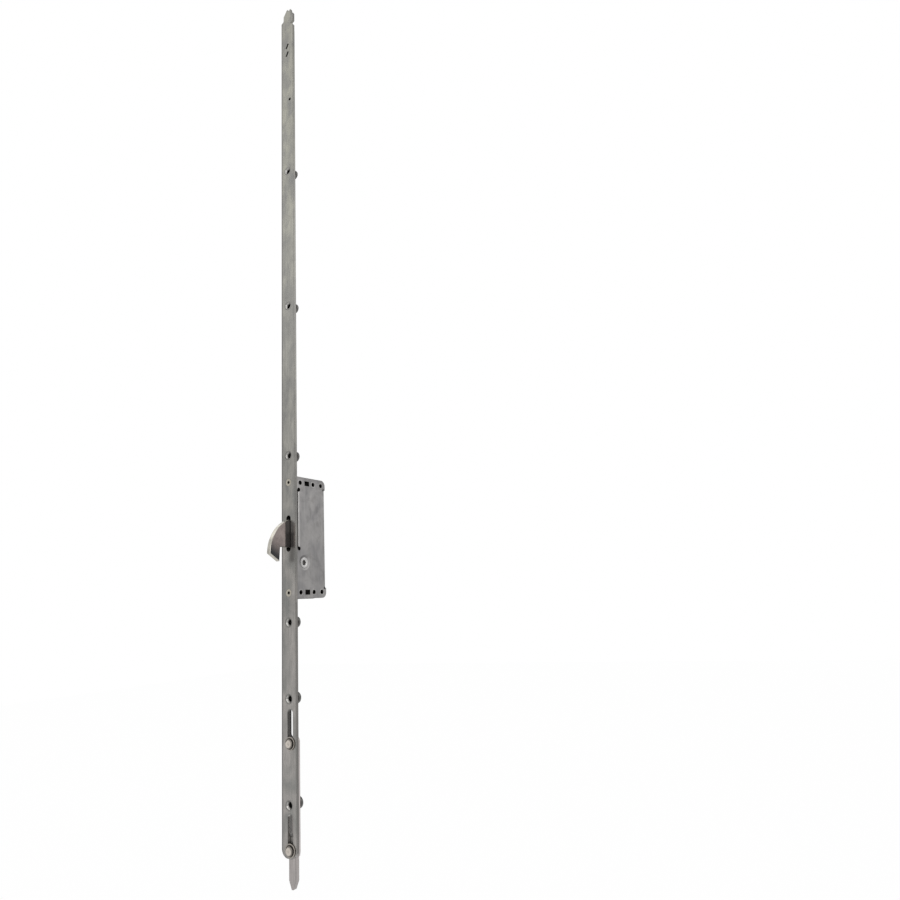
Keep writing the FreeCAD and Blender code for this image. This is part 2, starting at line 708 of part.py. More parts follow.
def hook():
    """The hook, drawn about its pivot: beak, neck, hub and the lobe that holds the pin slot."""
    half = number(hook_thickness) / 2
    shoulder = number(hook_shoulder)
    reach = number(hook_reach)
    throat = number(throat_height)
    wall = number(pin_radius + gap + lobe_wall)

    def at(radius, degrees):
        angle = math.radians(degrees)
        return FreeCAD.Vector(-half, radius * math.cos(angle), radius * math.sin(angle))

    def spot(back, up):
        return FreeCAD.Vector(-half, back, up)

    nose = spot(-reach, number(nose_rise))
    crown = at(shoulder, number(crown_angle))
    shoulder_end = at(shoulder, number(shoulder_angle))
    tip = spot(-reach + number(beak_width - beak_taper), number(beak_tip_rise))
    inner = spot(-reach + number(beak_width), throat)
    slot_middle = pin_path(0.45)
    outward = FreeCAD.Vector(0, slot_middle.y, slot_middle.z).normalize()
    lobe_top = slot_middle + outward * wall
    lobe_top.x = -half
    foot = pin_path(0)
    lobe_back = spot(foot.y + wall, foot.z)
    lobe_under = spot(foot.y, foot.z - wall)
    hub = number(hub_radius)
    under_hub = at(hub, -70)
    hub_front = at(hub, 190)
    neck_root = spot(-number(neck_front), throat)
    waist = spot(-number(neck_waist), number(waist_rise))
    crest = spot((lobe_top.y + shoulder_end.y) / 2, lobe_top.z + number(lobe_crest))
    flank = spot(lobe_back.y - number(lobe_flank), (lobe_top.z + lobe_back.z) / 2)
    heel = spot(foot.y + wall * math.cos(math.pi / 4), foot.z - wall * math.sin(math.pi / 4))
    curves = [Part.LineSegment(tip, nose), Part.Arc(nose, crown, shoulder_end),
              Part.Arc(shoulder_end, crest, lobe_top), Part.Arc(lobe_top, flank, lobe_back),
              Part.Arc(lobe_back, heel, lobe_under), Part.LineSegment(lobe_under, under_hub),
              Part.Arc(under_hub, at(hub, 240), hub_front), Part.Arc(hub_front, waist, neck_root),
              Part.LineSegment(neck_root, inner), Part.LineSegment(inner, tip)]
    face = Part.Face(Part.Wire([curve.toShape() for curve in curves]))
    blank = face.extrude(FreeCAD.Vector(2 * half, 0, 0))
    bore = Part.makeCylinder(number(sleeve_radius + fit), 2 * half + 2,
                             FreeCAD.Vector(-half - 1, 0, 0), FreeCAD.Vector(1, 0, 0))
    shape = blank.cut(bore).cut(pin_slot(number(pin_radius + gap), -half - 1, half + 1))
    rim = []
    for edge in shape.Edges:
        middle = edge.CenterOfMass
        on_flank = abs(abs(middle.x) - half) < 0.01
        if on_flank and edge.Length > 4 and (middle.y < -20 or middle.z > 40):
            rim.append(edge)
    shape = shape.makeChamfer(number(hook_chamfer), rim)
    feature = doc.addObject("Part::Feature", "hook_blade")
    feature.Shape = shape
    bind(feature, "Placement.Base.z", pivot_level)
    keep("hook", feature, pivot_depth)


def pivot():
    centre = {"Y": pivot_depth, "Z": pivot_level}
    ends = cover_inner - fit
    sleeve = cylinder("sleeve_blank", "X", centre, sleeve_radius, -ends, ends)
    way = cylinder("sleeve_way", "X", centre, pivot_shank + fit, -case_half, case_half)
    keep("pivot_sleeve", cut("sleeve_cut", sleeve, [way]))
    dished = case_half - dish_depth
    end = dished + pivot_flange_height
    mouth = end - pivot_flare_depth
    body = cylinder("pivot_shaft", "X", centre, pivot_shank, -end, end)
    rims = [cylinder("pivot_rim_right", "X", centre, pivot_flange, dished, end),
            cylinder("pivot_rim_left", "X", centre, pivot_flange, -end, -dished)]
    hole = cylinder("pivot_hole", "X", centre, pivot_bore, -end - 1, end + 1)
    flare = [cone("pivot_flare_right", "X", centre, pivot_bore, pivot_bore + pivot_flare, mouth, end),
             cone("pivot_flare_left", "X", centre, pivot_bore + pivot_flare, pivot_bore, -end, -mouth)]
    keep("pivot_rivet", cut("pivot_cut", fuse("pivot_blank", [body] + rims), [hole] + flare))
    for name, side in (("right", 1), ("left", -1)):
        near, far = hook_thickness / 2 + gap / 2, cover_inner - fit
        low, high = (near, far) if side == 1 else (-far, -near)
        ring = cylinder("washer_ring_" + name, "X", centre, washer_radius, low, high)
        eye = cylinder("washer_eye_" + name, "X", centre, sleeve_radius + fit, low - 1, high + 1)
        keep("hook_washer_" + name, cut("washer_cut_" + name, ring, [eye]))


def drive_plate(name, side):
    """The plate beside the hook that carries the drive pin and hangs on a notch in the rod."""
    inner = hook_thickness / 2 + drive_plate_gap
    start = inner if side == 1 else -inner - drive_plate_thickness
    foot = case_bottom + block_height + 2 * gap
    column_front = rod_back + gap
    column_back = column_front + drive_column
    arm_low = pivot_level + washer_radius + drive_arm_rise
    arm_high = arm_low + drive_arm_height
    eye_y = pivot_depth + pin_back
    eye_z = pivot_level + pin_rise
    tab_front = rod_front + gap
    points = [(tab_front, foot), (column_back, foot), (column_back, arm_low), (eye_y - drive_eye, arm_low),
              (eye_y - drive_eye, eye_z), (eye_y + drive_eye, eye_z),
              (eye_y + drive_eye, arm_high - drive_corner), (eye_y + drive_eye - drive_corner, arm_high),
              (column_front + drive_corner, arm_high),
              (column_front, arm_high - drive_corner), (column_front, foot + drive_tab_height),
              (tab_front, foot + drive_tab_height)]
    body = plate("drive_blank_" + name, "YZ_Plane", points, start, drive_plate_thickness)
    centre = {"Y": eye_y, "Z": eye_z}
    end = start + drive_plate_thickness
    eye = cylinder("drive_eye_" + name, "X", centre, drive_eye, start, end)
    hole = cylinder("drive_hole_" + name, "X", centre, pin_radius + fit, start - 1, end + 1)
    keep("drive_plate_" + name, cut("drive_cut_" + name, fuse("drive_join_" + name, [body, eye]), [hole]))


def drive_pin():
    centre = {"Y": pivot_depth + pin_back, "Z": pivot_level + pin_rise}
    end = drive_plate_outer + pin_head_height
    shaft = cylinder("pin_shaft", "X", centre, pin_radius, -end, end)
    heads = [cylinder("pin_head_right", "X", centre, pin_head, drive_plate_outer + fit, end),
             cylinder("pin_head_left", "X", centre, pin_head, -end, -drive_plate_outer - fit)]
    keep("drive_pin", fuse("pin_blank", [shaft] + heads))


faceplate()
for stud_index, stud_level in enumerate(stud_levels):
    behind = rod_back + stud_stand
    if stud_index == 5:
        behind = rod_back + strap_thickness + 2 * gap
    guide_stud(stud_index + 1, stud_level, behind)
drive_rod()
shoot_bolt()
cam_button("upper", cam_upper)
cam_button("lower", cam_lower)
cover("right", 1)
cover("left", -1)
case_block("top", row_top, case_top)
case_block("bottom", row_bottom, case_bottom)
case_rivets("top", row_top)
case_rivets("bottom", row_bottom)
case_screw("top", row_top)
case_screw("bottom", row_bottom)
hook()
pivot()
drive_plate("right", 1)
drive_plate("left", -1)
drive_pin()

doc.recompute()
faults = [thing.Name for thing in doc.Objects if "Invalid" in thing.State or "Error" in thing.State]
for label, thing in pieces:
    if thing.Shape.isNull() or not thing.Shape.isValid():
        faults.append(label)
if faults:
    raise RuntimeError("failed objects: " + ", ".join(faults))
os.makedirs("parts", exist_ok=True)
for label, thing in pieces:
    thing.Shape.exportStep("parts/" + label + ".step")
    print(label, "solids", len(thing.Shape.Solids), "volume", round(thing.Shape.Volume, 1))
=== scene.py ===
import json
import math

import bmesh
import bpy
from mathutils import Matrix, Vector


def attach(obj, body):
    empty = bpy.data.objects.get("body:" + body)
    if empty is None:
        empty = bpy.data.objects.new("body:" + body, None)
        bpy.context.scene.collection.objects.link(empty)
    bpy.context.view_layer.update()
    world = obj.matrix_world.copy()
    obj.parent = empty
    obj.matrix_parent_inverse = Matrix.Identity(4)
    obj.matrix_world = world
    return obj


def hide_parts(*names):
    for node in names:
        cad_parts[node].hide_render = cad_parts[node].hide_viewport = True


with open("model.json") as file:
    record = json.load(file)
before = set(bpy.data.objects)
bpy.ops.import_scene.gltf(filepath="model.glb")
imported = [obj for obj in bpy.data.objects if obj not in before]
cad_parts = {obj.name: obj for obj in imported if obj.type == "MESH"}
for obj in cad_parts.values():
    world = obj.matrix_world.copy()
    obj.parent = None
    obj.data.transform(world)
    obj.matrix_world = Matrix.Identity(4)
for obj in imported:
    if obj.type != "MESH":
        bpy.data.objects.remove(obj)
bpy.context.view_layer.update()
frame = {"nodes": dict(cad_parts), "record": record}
nodes = frame["nodes"]
mm = 0.001
print("frame loaded,", len(nodes), "parts")


def addNode(tree, kind, values=None, **settings):
    node = tree.nodes.new(kind)
    for key, value in settings.items():
        setattr(node, key, value)
    for socket, value in (values or {}).items():
        node.inputs[socket].default_value = value
    return node


def shaderGroup(name, inputs, outputs):
    tree = bpy.data.node_groups.new(name, "ShaderNodeTree")
    for label, value in inputs:
        socket = tree.interface.new_socket(name=label, in_out="INPUT", socket_type="NodeSocketFloat")
        socket.default_value = value
    for label in outputs:
        tree.interface.new_socket(name=label, in_out="OUTPUT", socket_type="NodeSocketFloat")
    return tree, tree.nodes.new("NodeGroupInput"), tree.nodes.new("NodeGroupOutput")


# Fine lines along the strip, cloudy zinc and a few scratches, all from object coordinates
def rollingGrainGroup():
    inputs = (("Lines", 1600.0), ("Stretch", 0.012), ("Streak Stretch", 0.03), ("Clouds", 55.0),
              ("Cloud Stretch", 0.45), ("Shift", 0.0))
    tree, given, made = shaderGroup("rollingGrain", inputs, ("Lines", "Streaks", "Clouds", "Scratches"))
    link = tree.links.new
    place = addNode(tree, "ShaderNodeTexCoord")
    moved = addNode(tree, "ShaderNodeVectorMath", operation="ADD")
    link(place.outputs["Object"], moved.inputs[0])
    shift = addNode(tree, "ShaderNodeCombineXYZ")
    for axis in "XYZ":
        link(given.outputs["Shift"], shift.inputs[axis])
    link(shift.outputs[0], moved.inputs[1])

    def stretched(scale, stretch):
        along = addNode(tree, "ShaderNodeMath", operation="MULTIPLY")
        link(given.outputs[scale], along.inputs[0])
        link(given.outputs[stretch], along.inputs[1])
        factors = addNode(tree, "ShaderNodeCombineXYZ")
        link(given.outputs[scale], factors.inputs["X"])
        link(given.outputs[scale], factors.inputs["Y"])
        link(along.outputs[0], factors.inputs["Z"])
        scaled = addNode(tree, "ShaderNodeVectorMath", operation="MULTIPLY")
        link(moved.outputs[0], scaled.inputs[0])
        link(factors.outputs[0], scaled.inputs[1])
        return scaled

    lines = addNode(tree, "ShaderNodeTexNoise", {"Scale": 1.0, "Detail": 3.0, "Roughness": 0.65})
    link(stretched("Lines", "Stretch").outputs[0], lines.inputs["Vector"])
    link(lines.outputs[0], made.inputs["Lines"])
    wide = addNode(tree, "ShaderNodeTexNoise",
                   {"Scale": 0.42, "Detail": 5.0, "Roughness": 0.75, "Distortion": 0.6})
    link(stretched("Lines", "Streak Stretch").outputs[0], wide.inputs["Vector"])
    link(wide.outputs[0], made.inputs["Streaks"])
    clouds = addNode(tree, "ShaderNodeTexNoise",
                     {"Scale": 1.0, "Detail": 4.0, "Roughness": 0.52, "Distortion": 0.4})
    link(stretched("Clouds", "Cloud Stretch").outputs[0], clouds.inputs["Vector"])
    link(clouds.outputs[0], made.inputs["Clouds"])
    tilted = addNode(tree, "ShaderNodeMapping", {"Rotation": (0.3, 0.5, 0.2), "Scale": (260.0, 900.0, 120.0)})
    link(moved.outputs[0], tilted.inputs["Vector"])
    nicks = addNode(tree, "ShaderNodeTexNoise", {"Scale": 1.0, "Detail": 2.0, "Roughness": 0.5})
    link(tilted.outputs[0], nicks.inputs["Vector"])
    few = addNode(tree, "ShaderNodeMapRange", {"From Min": 0.68, "From Max": 0.78})
    link(nicks.outputs[0], few.inputs["Value"])
    link(few.outputs[0], made.inputs["Scratches"])
    return tree


# A mask along sharp edges, broken up a little, for painted edge shade on most finishes and painted edge
# highlights on others
def edgeBandGroup():
    tree, given, made = shaderGroup("edgeBand", (("Width", 0.0006), ("Breakup", 300.0)), ("Edge",))
    link = tree.links.new
    eased = addNode(tree, "ShaderNodeBevel", samples=6)
    link(given.outputs["Width"], eased.inputs["Radius"])
    shape = addNode(tree, "ShaderNodeNewGeometry")
    alike = addNode(tree, "ShaderNodeVectorMath", operation="DOT_PRODUCT")
    link(eased.outputs[0], alike.inputs[0])
    link(shape.outputs["Normal"], alike.inputs[1])
    band = addNode(tree, "ShaderNodeMapRange", {"From Min": 0.995, "From Max": 0.86})
    link(alike.outputs["Value"], band.inputs["Value"])
    place = addNode(tree, "ShaderNodeTexCoord")
    patches = addNode(tree, "ShaderNodeTexNoise", {"Detail": 2.0})
    link(place.outputs["Object"], patches.inputs["Vector"])
    link(given.outputs["Breakup"], patches.inputs["Scale"])
    kept = addNode(tree, "ShaderNodeMapRange", {"From Min": 0.3, "From Max": 0.6, "To Min": 0.55})
    link(patches.outputs[0], kept.inputs["Value"])
    mask = addNode(tree, "ShaderNodeMath", operation="MULTIPLY")
    link(band.outputs[0], mask.inputs[0])
    link(kept.outputs[0], mask.inputs[1])
    link(mask.outputs[0], made.inputs["Edge"])
    return tree


# Soft darker handling marks of the size of a fingertip, and small specks
def smudgeGroup():
    tree, given, made = shaderGroup("smudges", (("Size", 70.0), ("Cover", 0.5)), ("Smudge", "Specks"))
    link = tree.links.new
    place = addNode(tree, "ShaderNodeTexCoord")
    soft = addNode(tree, "ShaderNodeTexNoise", {"Detail": 4.0, "Roughness": 0.7, "Distortion": 1.2})
    link(place.outputs["Object"], soft.inputs["Vector"])
    link(given.outputs["Size"], soft.inputs["Scale"])
    top = addNode(tree, "ShaderNodeMath", {1: 0.22}, operation="ADD")
    link(given.outputs["Cover"], top.inputs[0])
    smudge = addNode(tree, "ShaderNodeMapRange")
    link(soft.outputs[0], smudge.inputs["Value"])
    link(given.outputs["Cover"], smudge.inputs["From Min"])
    link(top.outputs[0], smudge.inputs["From Max"])
    link(smudge.outputs[0], made.inputs["Smudge"])
    grains = addNode(tree, "ShaderNodeTexVoronoi", {"Scale": 620.0, "Randomness": 1.0})
    link(place.outputs["Object"], grains.inputs["Vector"])
    specks = addNode(tree, "ShaderNodeMapRange", {"From Min": 0.16, "From Max": 0.06})
    link(grains.outputs["Distance"], specks.inputs["Value"])
    link(specks.outputs[0], made.inputs["Specks"])
    return tree


rollingGrain = rollingGrainGroup()
edgeBand = edgeBandGroup()
smudges = smudgeGroup()


# A plated or bare metal: base tone, cloudy shade, light lines, painted edge shade and highlights, handling
# marks, and painted shade and highlights from masks and attributes
def metalFinish(name, look):
    material = bpy.data.materials.new(name)
    material.use_nodes = True
    tree = material.node_tree
    tree.nodes.clear()
    link = tree.links.new
    shader = addNode(tree, "ShaderNodeBsdfPrincipled", {"Metallic": look["metal"], "IOR": 1.5})
    out = addNode(tree, "ShaderNodeOutputMaterial")
    link(shader.outputs[0], out.inputs["Surface"])
    grain = addNode(tree, "ShaderNodeGroup", node_tree=rollingGrain)
    for socket, key in (("Lines", "lines"), ("Stretch", "stretch"), ("Streak Stretch", "streakStretch"),
                        ("Clouds", "clouds"), ("Cloud Stretch", "cloudStretch"), ("Shift", "shift")):
        grain.inputs[socket].default_value = look[key]
    edge = addNode(tree, "ShaderNodeGroup", {"Width": look["edgeWidth"], "Breakup": look["edgeBreakup"]},
                   node_tree=edgeBand)
    marks = addNode(tree, "ShaderNodeGroup", {"Size": look["smudgeSize"], "Cover": look["smudgeCover"]},
                    node_tree=smudges)

    def ranged(source, low, high, toLow, toHigh):
        node = addNode(tree, "ShaderNodeMapRange",
                       {"From Min": low, "From Max": high, "To Min": toLow, "To Max": toHigh})
        link(source, node.inputs["Value"])
        return node.outputs[0]

    def mixed(share, first, second):
        node = addNode(tree, "ShaderNodeMix", data_type="RGBA")
        link(share, node.inputs[0])
        for socket, colour in ((6, first), (7, second)):
            if isinstance(colour, tuple):
                node.inputs[socket].default_value = colour + (1.0,)
            else:
                link(colour, node.inputs[socket])
        return node.outputs[2]

    def banded(direction, start, end, amount):  # a mask that grows along a direction, in millimetres
        place = addNode(tree, "ShaderNodeTexCoord")
        reach = addNode(tree, "ShaderNodeVectorMath", {1: direction}, operation="DOT_PRODUCT")
        link(place.outputs["Object"], reach.inputs[0])
        return ranged(reach.outputs["Value"], start * mm, end * mm, 0.0, amount)

    def boxed(centre, half, fade, amount):  # a mask inside a box, in millimetres, that fades outside it
        source = addNode(tree, "ShaderNodeTexCoord").outputs["Object"]
        steps = (("SUBTRACT", centre), ("ABSOLUTE", None), ("SUBTRACT", half), ("MAXIMUM", (0, 0, 0)))
        for operation, values in steps:
            given = {1: [value * mm for value in values]} if values else None
            step = addNode(tree, "ShaderNodeVectorMath", given, operation=operation)
            link(source, step.inputs[0])
            source = step.outputs[0]
        reach = addNode(tree, "ShaderNodeVectorMath", operation="LENGTH")
        link(source, reach.inputs[0])
        return ranged(reach.outputs["Value"], 0.0, fade * mm, amount, 0.0)

    colour = look["tone"]
    for tint in look.get("tints", ()):
        colour = mixed(banded(*tint[:4]), colour, tint[4])
    clouds, streaks, lines, scratches = (
        grain.outputs[label] for label in ("Clouds", "Streaks", "Lines", "Scratches"))
    colour = mixed(ranged(clouds, *look["cloudRange"], 0.0, look["cloudAmount"]), colour, look["shade"])
    colour = mixed(ranged(streaks, *look["streakRange"], look["streakAmount"], 0.0), colour, look["streak"])
    colour = mixed(ranged(lines, *look["lineRange"], 0.0, look["lineAmount"]), colour, look["light"])
    for source, amount, tone in (
            (marks.outputs["Smudge"], "smudgeAmount", "dark"),
            (marks.outputs["Specks"], "speckAmount", "dark"),
            (scratches, "scratchAmount", "light"),
            (edge.outputs["Edge"], "edgeAmount", "edge")):
        colour = mixed(ranged(source, 0.0, 1.0, 0.0, look[amount]), colour, look[tone])
    for shade in look.get("shades", ()):
        colour = mixed(banded(*shade), colour, look["dark"])
    for spot in look.get("spots", ()):
        colour = mixed(boxed(*spot), colour, look["dark"])
    # Painted highlights with some wear, then painted shade with some grime, from attributes on the faces and
    # points
    worn = addNode(tree, "ShaderNodeAttribute", attribute_name="worn")
    colour = mixed(worn.outputs["Fac"], colour, look["worn"])
    shadeAndGrime = addNode(tree, "ShaderNodeAttribute", attribute_name="shadeAndGrime")
    colour = mixed(shadeAndGrime.outputs["Fac"], colour, look["shadeAndGrime"])
    link(colour, shader.inputs["Base Color"])
    polish = addNode(tree, "ShaderNodeMath", {1: look["shadeAndGrimeRough"]}, operation="MULTIPLY_ADD")
    link(shadeAndGrime.outputs["Fac"], polish.inputs[0])
    link(ranged(lines, *look["roughRange"], *look["rough"]), polish.inputs[2])
    link(polish.outputs[0], shader.inputs["Roughness"])
    height = addNode(tree, "ShaderNodeMath", {1: look["bumpClouds"]}, operation="MULTIPLY_ADD")
    link(clouds, height.inputs[0])
    link(lines, height.inputs[2])
    bump = addNode(tree, "ShaderNodeBump", {"Strength": look["bump"], "Distance": look["bumpHeight"]})
    link(height.outputs[0], bump.inputs["Height"])
    link(bump.outputs[0], shader.inputs["Normal"])
    return material


# Tones are linear, lines, clouds and smudges so many to a metre, widths and heights in metres, and a range
# says between which values of the noise a tone comes in
zincLook = {
    "metal": 0.88, "rough": (0.28, 0.42), "roughRange": (0.3, 0.7), "shadeAndGrimeRough": 0.25,
    "bump": 0.10, "bumpClouds": 0.8, "bumpHeight": 0.0002,
    "tone": (0.372, 0.365, 0.330), "shade": (0.228, 0.228, 0.219), "light": (0.430, 0.422, 0.396),
    "dark": (0.130, 0.124, 0.117), "edge": (0.150, 0.147, 0.138), "worn": (0.62, 0.60, 0.57),
    "streak": (0.200, 0.196, 0.184), "shadeAndGrime": (0.018, 0.017, 0.016),
    "lines": 1500.0, "stretch": 0.03, "lineAmount": 0.28, "lineRange": (0.42, 0.75),
    "streakStretch": 0.10, "streakAmount": 0.55, "streakRange": (0.36, 0.64),
    "clouds": 62.0, "cloudStretch": 0.55, "cloudAmount": 1.0, "cloudRange": (0.38, 0.65), "shift": 0.0,
    "smudgeSize": 60.0, "smudgeCover": 0.56, "smudgeAmount": 0.30, "speckAmount": 0.10, "scratchAmount": 0.35,
    "edgeWidth": 0.0011, "edgeBreakup": 220.0, "edgeAmount": 0.85}


def zinc(**changes):
    return {**zincLook, **changes}


# In millimetres: a tint is (direction, start, end, amount, tone), a shade the same without a tone, and a spot
# (middle, half sizes, fade, amount)
finishes = {
    "plated_strip": zinc(
        rough=(0.23, 0.31),
        tints=(((0.0, 0.0, -1.0), 60.0, 260.0, 0.85, (0.395, 0.368, 0.353)),
               ((0.0, 0.0, 1.0), 60.0, 260.0, 1.0, (0.410, 0.404, 0.340))),
        # Painted shade along both long edges and the right side face, and darker towards the top
        shades=(((-1.0, 0.0, 0.0), 8.0, 9.4, 1.0), ((1.0, 0.0, 0.0), 9.0, 9.6, 0.4),
                ((0.0, 0.0, 1.0), 360.0, 500.0, 0.30)),
        spots=(((5.0, -3.0, -191.5), (1.5, 1.0, 14.0), 4.0, 0.9),  # painted shadow and reflection of the hook beside it
               # painted shade on the lower right side face
               ((10.0, -1.2, -380.0), (0.2, 1.0, 130.0), 0.5, 0.5))),
    "plated_rod": zinc(tone=(0.36, 0.346, 0.334), shade=(0.27, 0.26, 0.253), shift=0.37),
    "plated_bolt": zinc(
        tone=(0.46, 0.425, 0.410), shade=(0.37, 0.342, 0.332), light=(0.58, 0.545, 0.53),
        worn=(0.70, 0.64, 0.635), shift=0.61, lineAmount=0.4, streakAmount=0.3),
    "case_sheet": zinc(
        tone=(0.318, 0.308, 0.304), shade=(0.225, 0.220, 0.224), light=(0.41, 0.40, 0.395),
        worn=(0.43, 0.42, 0.41), clouds=60.0, cloudStretch=0.8, lines=900.0, stretch=0.05, lineAmount=0.35,
        streakAmount=0.25, shift=0.19, smudgeCover=0.50, smudgeAmount=0.40, speckAmount=0.2,
        rough=(0.32, 0.46),
        tints=(((0.0, 0.0, 1.0), -190.0, -125.0, 1.0, (0.370, 0.358, 0.352)),)),
    "case_block": zinc(tone=(0.24, 0.232, 0.225), shade=(0.16, 0.155, 0.15), shift=0.83, stretch=0.4),
    "rivet": zinc(
        tone=(0.46, 0.45, 0.44), shade=(0.34, 0.33, 0.325), light=(0.58, 0.57, 0.55), shift=0.27,
        stretch=1.0, lines=1200.0, streakAmount=0.2, edgeWidth=0.0003, edgeAmount=0.3, rough=(0.22, 0.32)),
    "screw": zinc(
        tone=(0.50, 0.47, 0.40), shade=(0.40, 0.37, 0.31), light=(0.64, 0.61, 0.53), edge=(0.22, 0.20, 0.16),
        stretch=1.0, lines=1500.0, shift=0.47, streakAmount=0.2, edgeWidth=0.0002, edgeAmount=0.35,
        rough=(0.24, 0.34)),
    "cam_button": zinc(
        tone=(0.66, 0.605, 0.54), shade=(0.50, 0.455, 0.405), light=(0.72, 0.665, 0.60),
        edge=(0.58, 0.53, 0.47), stretch=1.0, lines=1100.0, shift=0.71, streakAmount=0.25, edgeWidth=0.00035,
        edgeAmount=0.35, rough=(0.16, 0.28)),
    "stud": zinc(
        tone=(0.50, 0.49, 0.465), shade=(0.38, 0.37, 0.355), light=(0.66, 0.65, 0.62),
        edge=(0.56, 0.55, 0.52), stretch=1.0, lines=1300.0, shift=0.13, streakAmount=0.2, edgeWidth=0.00035,
        edgeAmount=0.4, rough=(0.10, 0.18)),
    "pivot_steel": zinc(
        tone=(0.56, 0.55, 0.54), shade=(0.42, 0.41, 0.41), light=(0.80, 0.79, 0.78), edge=(0.80, 0.79, 0.78),
        stretch=1.0, lines=1200.0, shift=0.91, streakAmount=0.2, edgeWidth=0.0003, edgeAmount=0.4,
        rough=(0.12, 0.22)),
    "inner_steel": zinc(
        tone=(0.10, 0.096, 0.092), shade=(0.06, 0.058, 0.056), light=(0.15, 0.145, 0.14), shift=0.05,
        stretch=0.3, edgeAmount=0.3, rough=(0.35, 0.5)),
    "hook_steel": zinc(
        tone=(0.325, 0.270, 0.252), shade=(0.22, 0.18, 0.172), light=(0.36, 0.33, 0.31),
        edge=(0.62, 0.59, 0.53), dark=(0.038, 0.039, 0.042), clouds=130.0, cloudStretch=0.8, cloudAmount=0.9,
        stretch=0.5, lines=700.0, lineAmount=0.3, streakAmount=0.2, shift=0.53, edgeWidth=0.0005,
        edgeAmount=0.9, rough=(0.12, 0.20),
        # Painted dark reflection of the plate near it, and painted shade inside the slot, along the beak's
        # lower edge and towards the flank's bottom
        shades=(((0.0, 1.0, 0.0), -10.3, -9.9, 0.85), ((0.0, 0.57, 0.82), -166.0, -178.0, 0.95),
                ((0.0, 1.0, 0.0), -3.4, -2.6, 0.9), ((0.0, 0.0, -1.0), 187.0, 209.0, 0.8))),
}
hookRimLook = zinc(
    tone=(0.50, 0.478, 0.424), shade=(0.34, 0.323, 0.285), light=(0.60, 0.575, 0.515),
    edge=(0.13, 0.125, 0.11), clouds=150.0, stretch=0.2, lineAmount=0.4, streakAmount=0.2, shift=0.57,
    edgeWidth=0.0006, edgeAmount=0.85, rough=(0.16, 0.24), smudgeAmount=0.12)

materials = {slotName: metalFinish(slotName, settings) for slotName, settings in finishes.items()}
hookRim = metalFinish("hook_rim", hookRimLook)
print("finishes made:", len(materials) + 1)


def newObject(name, mesh):
    thing = bpy.data.objects.new(name, mesh)
    bpy.context.scene.collection.objects.link(thing)
    return thing


# The object's modifiers applied into a plain mesh
def baked(thing):
    bpy.context.view_layer.update()
    graph = bpy.context.evaluated_depsgraph_get()
    mesh = bpy.data.meshes.new_from_object(thing.evaluated_get(graph))
    thing.modifiers.clear()
    thing.data = mesh
    return thing


def smoothed(thing, angle):
    for face in thing.data.polygons:
        face.use_smooth = True
    thing.data.set_sharp_from_angle(angle=math.radians(angle))
    return thing


def handOver(thing, body, replaced):
    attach(thing, body)
    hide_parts(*replaced)


# In millimetres and degrees: corners nearer than weld are one, faces flatter than flat become one, edges
# sharper than corner are eased, and what is flatter than smooth or turned is shaded smooth
easing = {"weld": 0.003, "flat": 0.4, "corner": 32, "segments": 3, "smooth": 28, "turned": 35}


# Turns the square wall of the round dish into a slope
def slopeDish(shape, size):
    centre = Vector((0, *size["pivot"])) * mm
    near = 0.05 * mm
    for vert in shape.verts:
        spoke = Vector((0, vert.co.y, vert.co.z)) - centre
        onEdge = abs(spoke.length - size["dishEdge"] * mm) < near
        if onEdge and abs(abs(vert.co.x) - size["dishFloor"] * mm) < near:
            vert.co -= spoke.normalized() * size["dishSlope"] * mm


# The CAD part with its sharp edges eased, and its painted shade and grime and its wear and painted highlights
# marked by two functions
def softened(node, name, settings, shadeAndGrimeAt=None, wornAt=None):
    shape = bmesh.new()
    shape.from_mesh(nodes[node].data)
    bmesh.ops.remove_doubles(shape, verts=shape.verts, dist=easing["weld"] * mm)
    bmesh.ops.dissolve_limit(shape, angle_limit=math.radians(easing["flat"]), verts=shape.verts,
                             edges=shape.edges, delimit={"NORMAL"})
    if "dishEdge" in settings:
        slopeDish(shape, settings)
    mesh = bpy.data.meshes.new(name)
    shape.to_mesh(mesh)
    shape.free()
    thing = newObject(name, mesh)
    ease = thing.modifiers.new("ease", "BEVEL")
    ease.width = settings["ease"] * mm
    ease.segments = easing["segments"]
    ease.limit_method = "ANGLE"
    ease.angle_limit = math.radians(easing["corner"])
    ease.use_clamp_overlap = True
    baked(thing)
    for label, shareAt in (("shadeAndGrime", shadeAndGrimeAt), ("worn", wornAt)):
        if shareAt:
            marked = thing.data.attributes.new(label, "FLOAT", "FACE")
            for face in thing.data.polygons:
                marked.data[face.index].value = shareAt(settings, face.center / mm, face.normal)
    smoothed(thing, settings.get("smooth", easing["smooth"]))
    even = thing.modifiers.new("even", "WEIGHTED_NORMAL")
    even.keep_sharp = True
    even.weight = 100
    return baked(thing)


# The corners of a turned profile, (radius, depth, painted shade and grime, lobe) in millimetres, cut back
# with a small curve
def easedProfile(points, radius):
    done = []
    points = [tuple(point) + (0.0,) * (4 - len(point)) for point in points]
    for index, (across, along, shadeAndGrime, lobe) in enumerate(points):
        before, after = points[index - 1], points[(index + 1) % len(points)]
        here = Vector((across, along))
        back, ahead = Vector(before[:2]) - here, Vector(after[:2]) - here
        if across == 0 or back.length < 1e-6 or ahead.length < 1e-6:
            done.append((across, along, shadeAndGrime, lobe))
            continue
        cut = min(radius, back.length * 0.4, ahead.length * 0.4)  # leaves the middle of each side straight
        first, last = here + back.normalized() * cut, here + ahead.normalized() * cut
        for step in range(easing["segments"] + 1):
            share = step / easing["segments"]
            point = first * (1 - share) ** 2 + here * (2 * share * (1 - share)) + last * share ** 2
            done.append((point.x, point.y, shadeAndGrime, lobe))
    return done


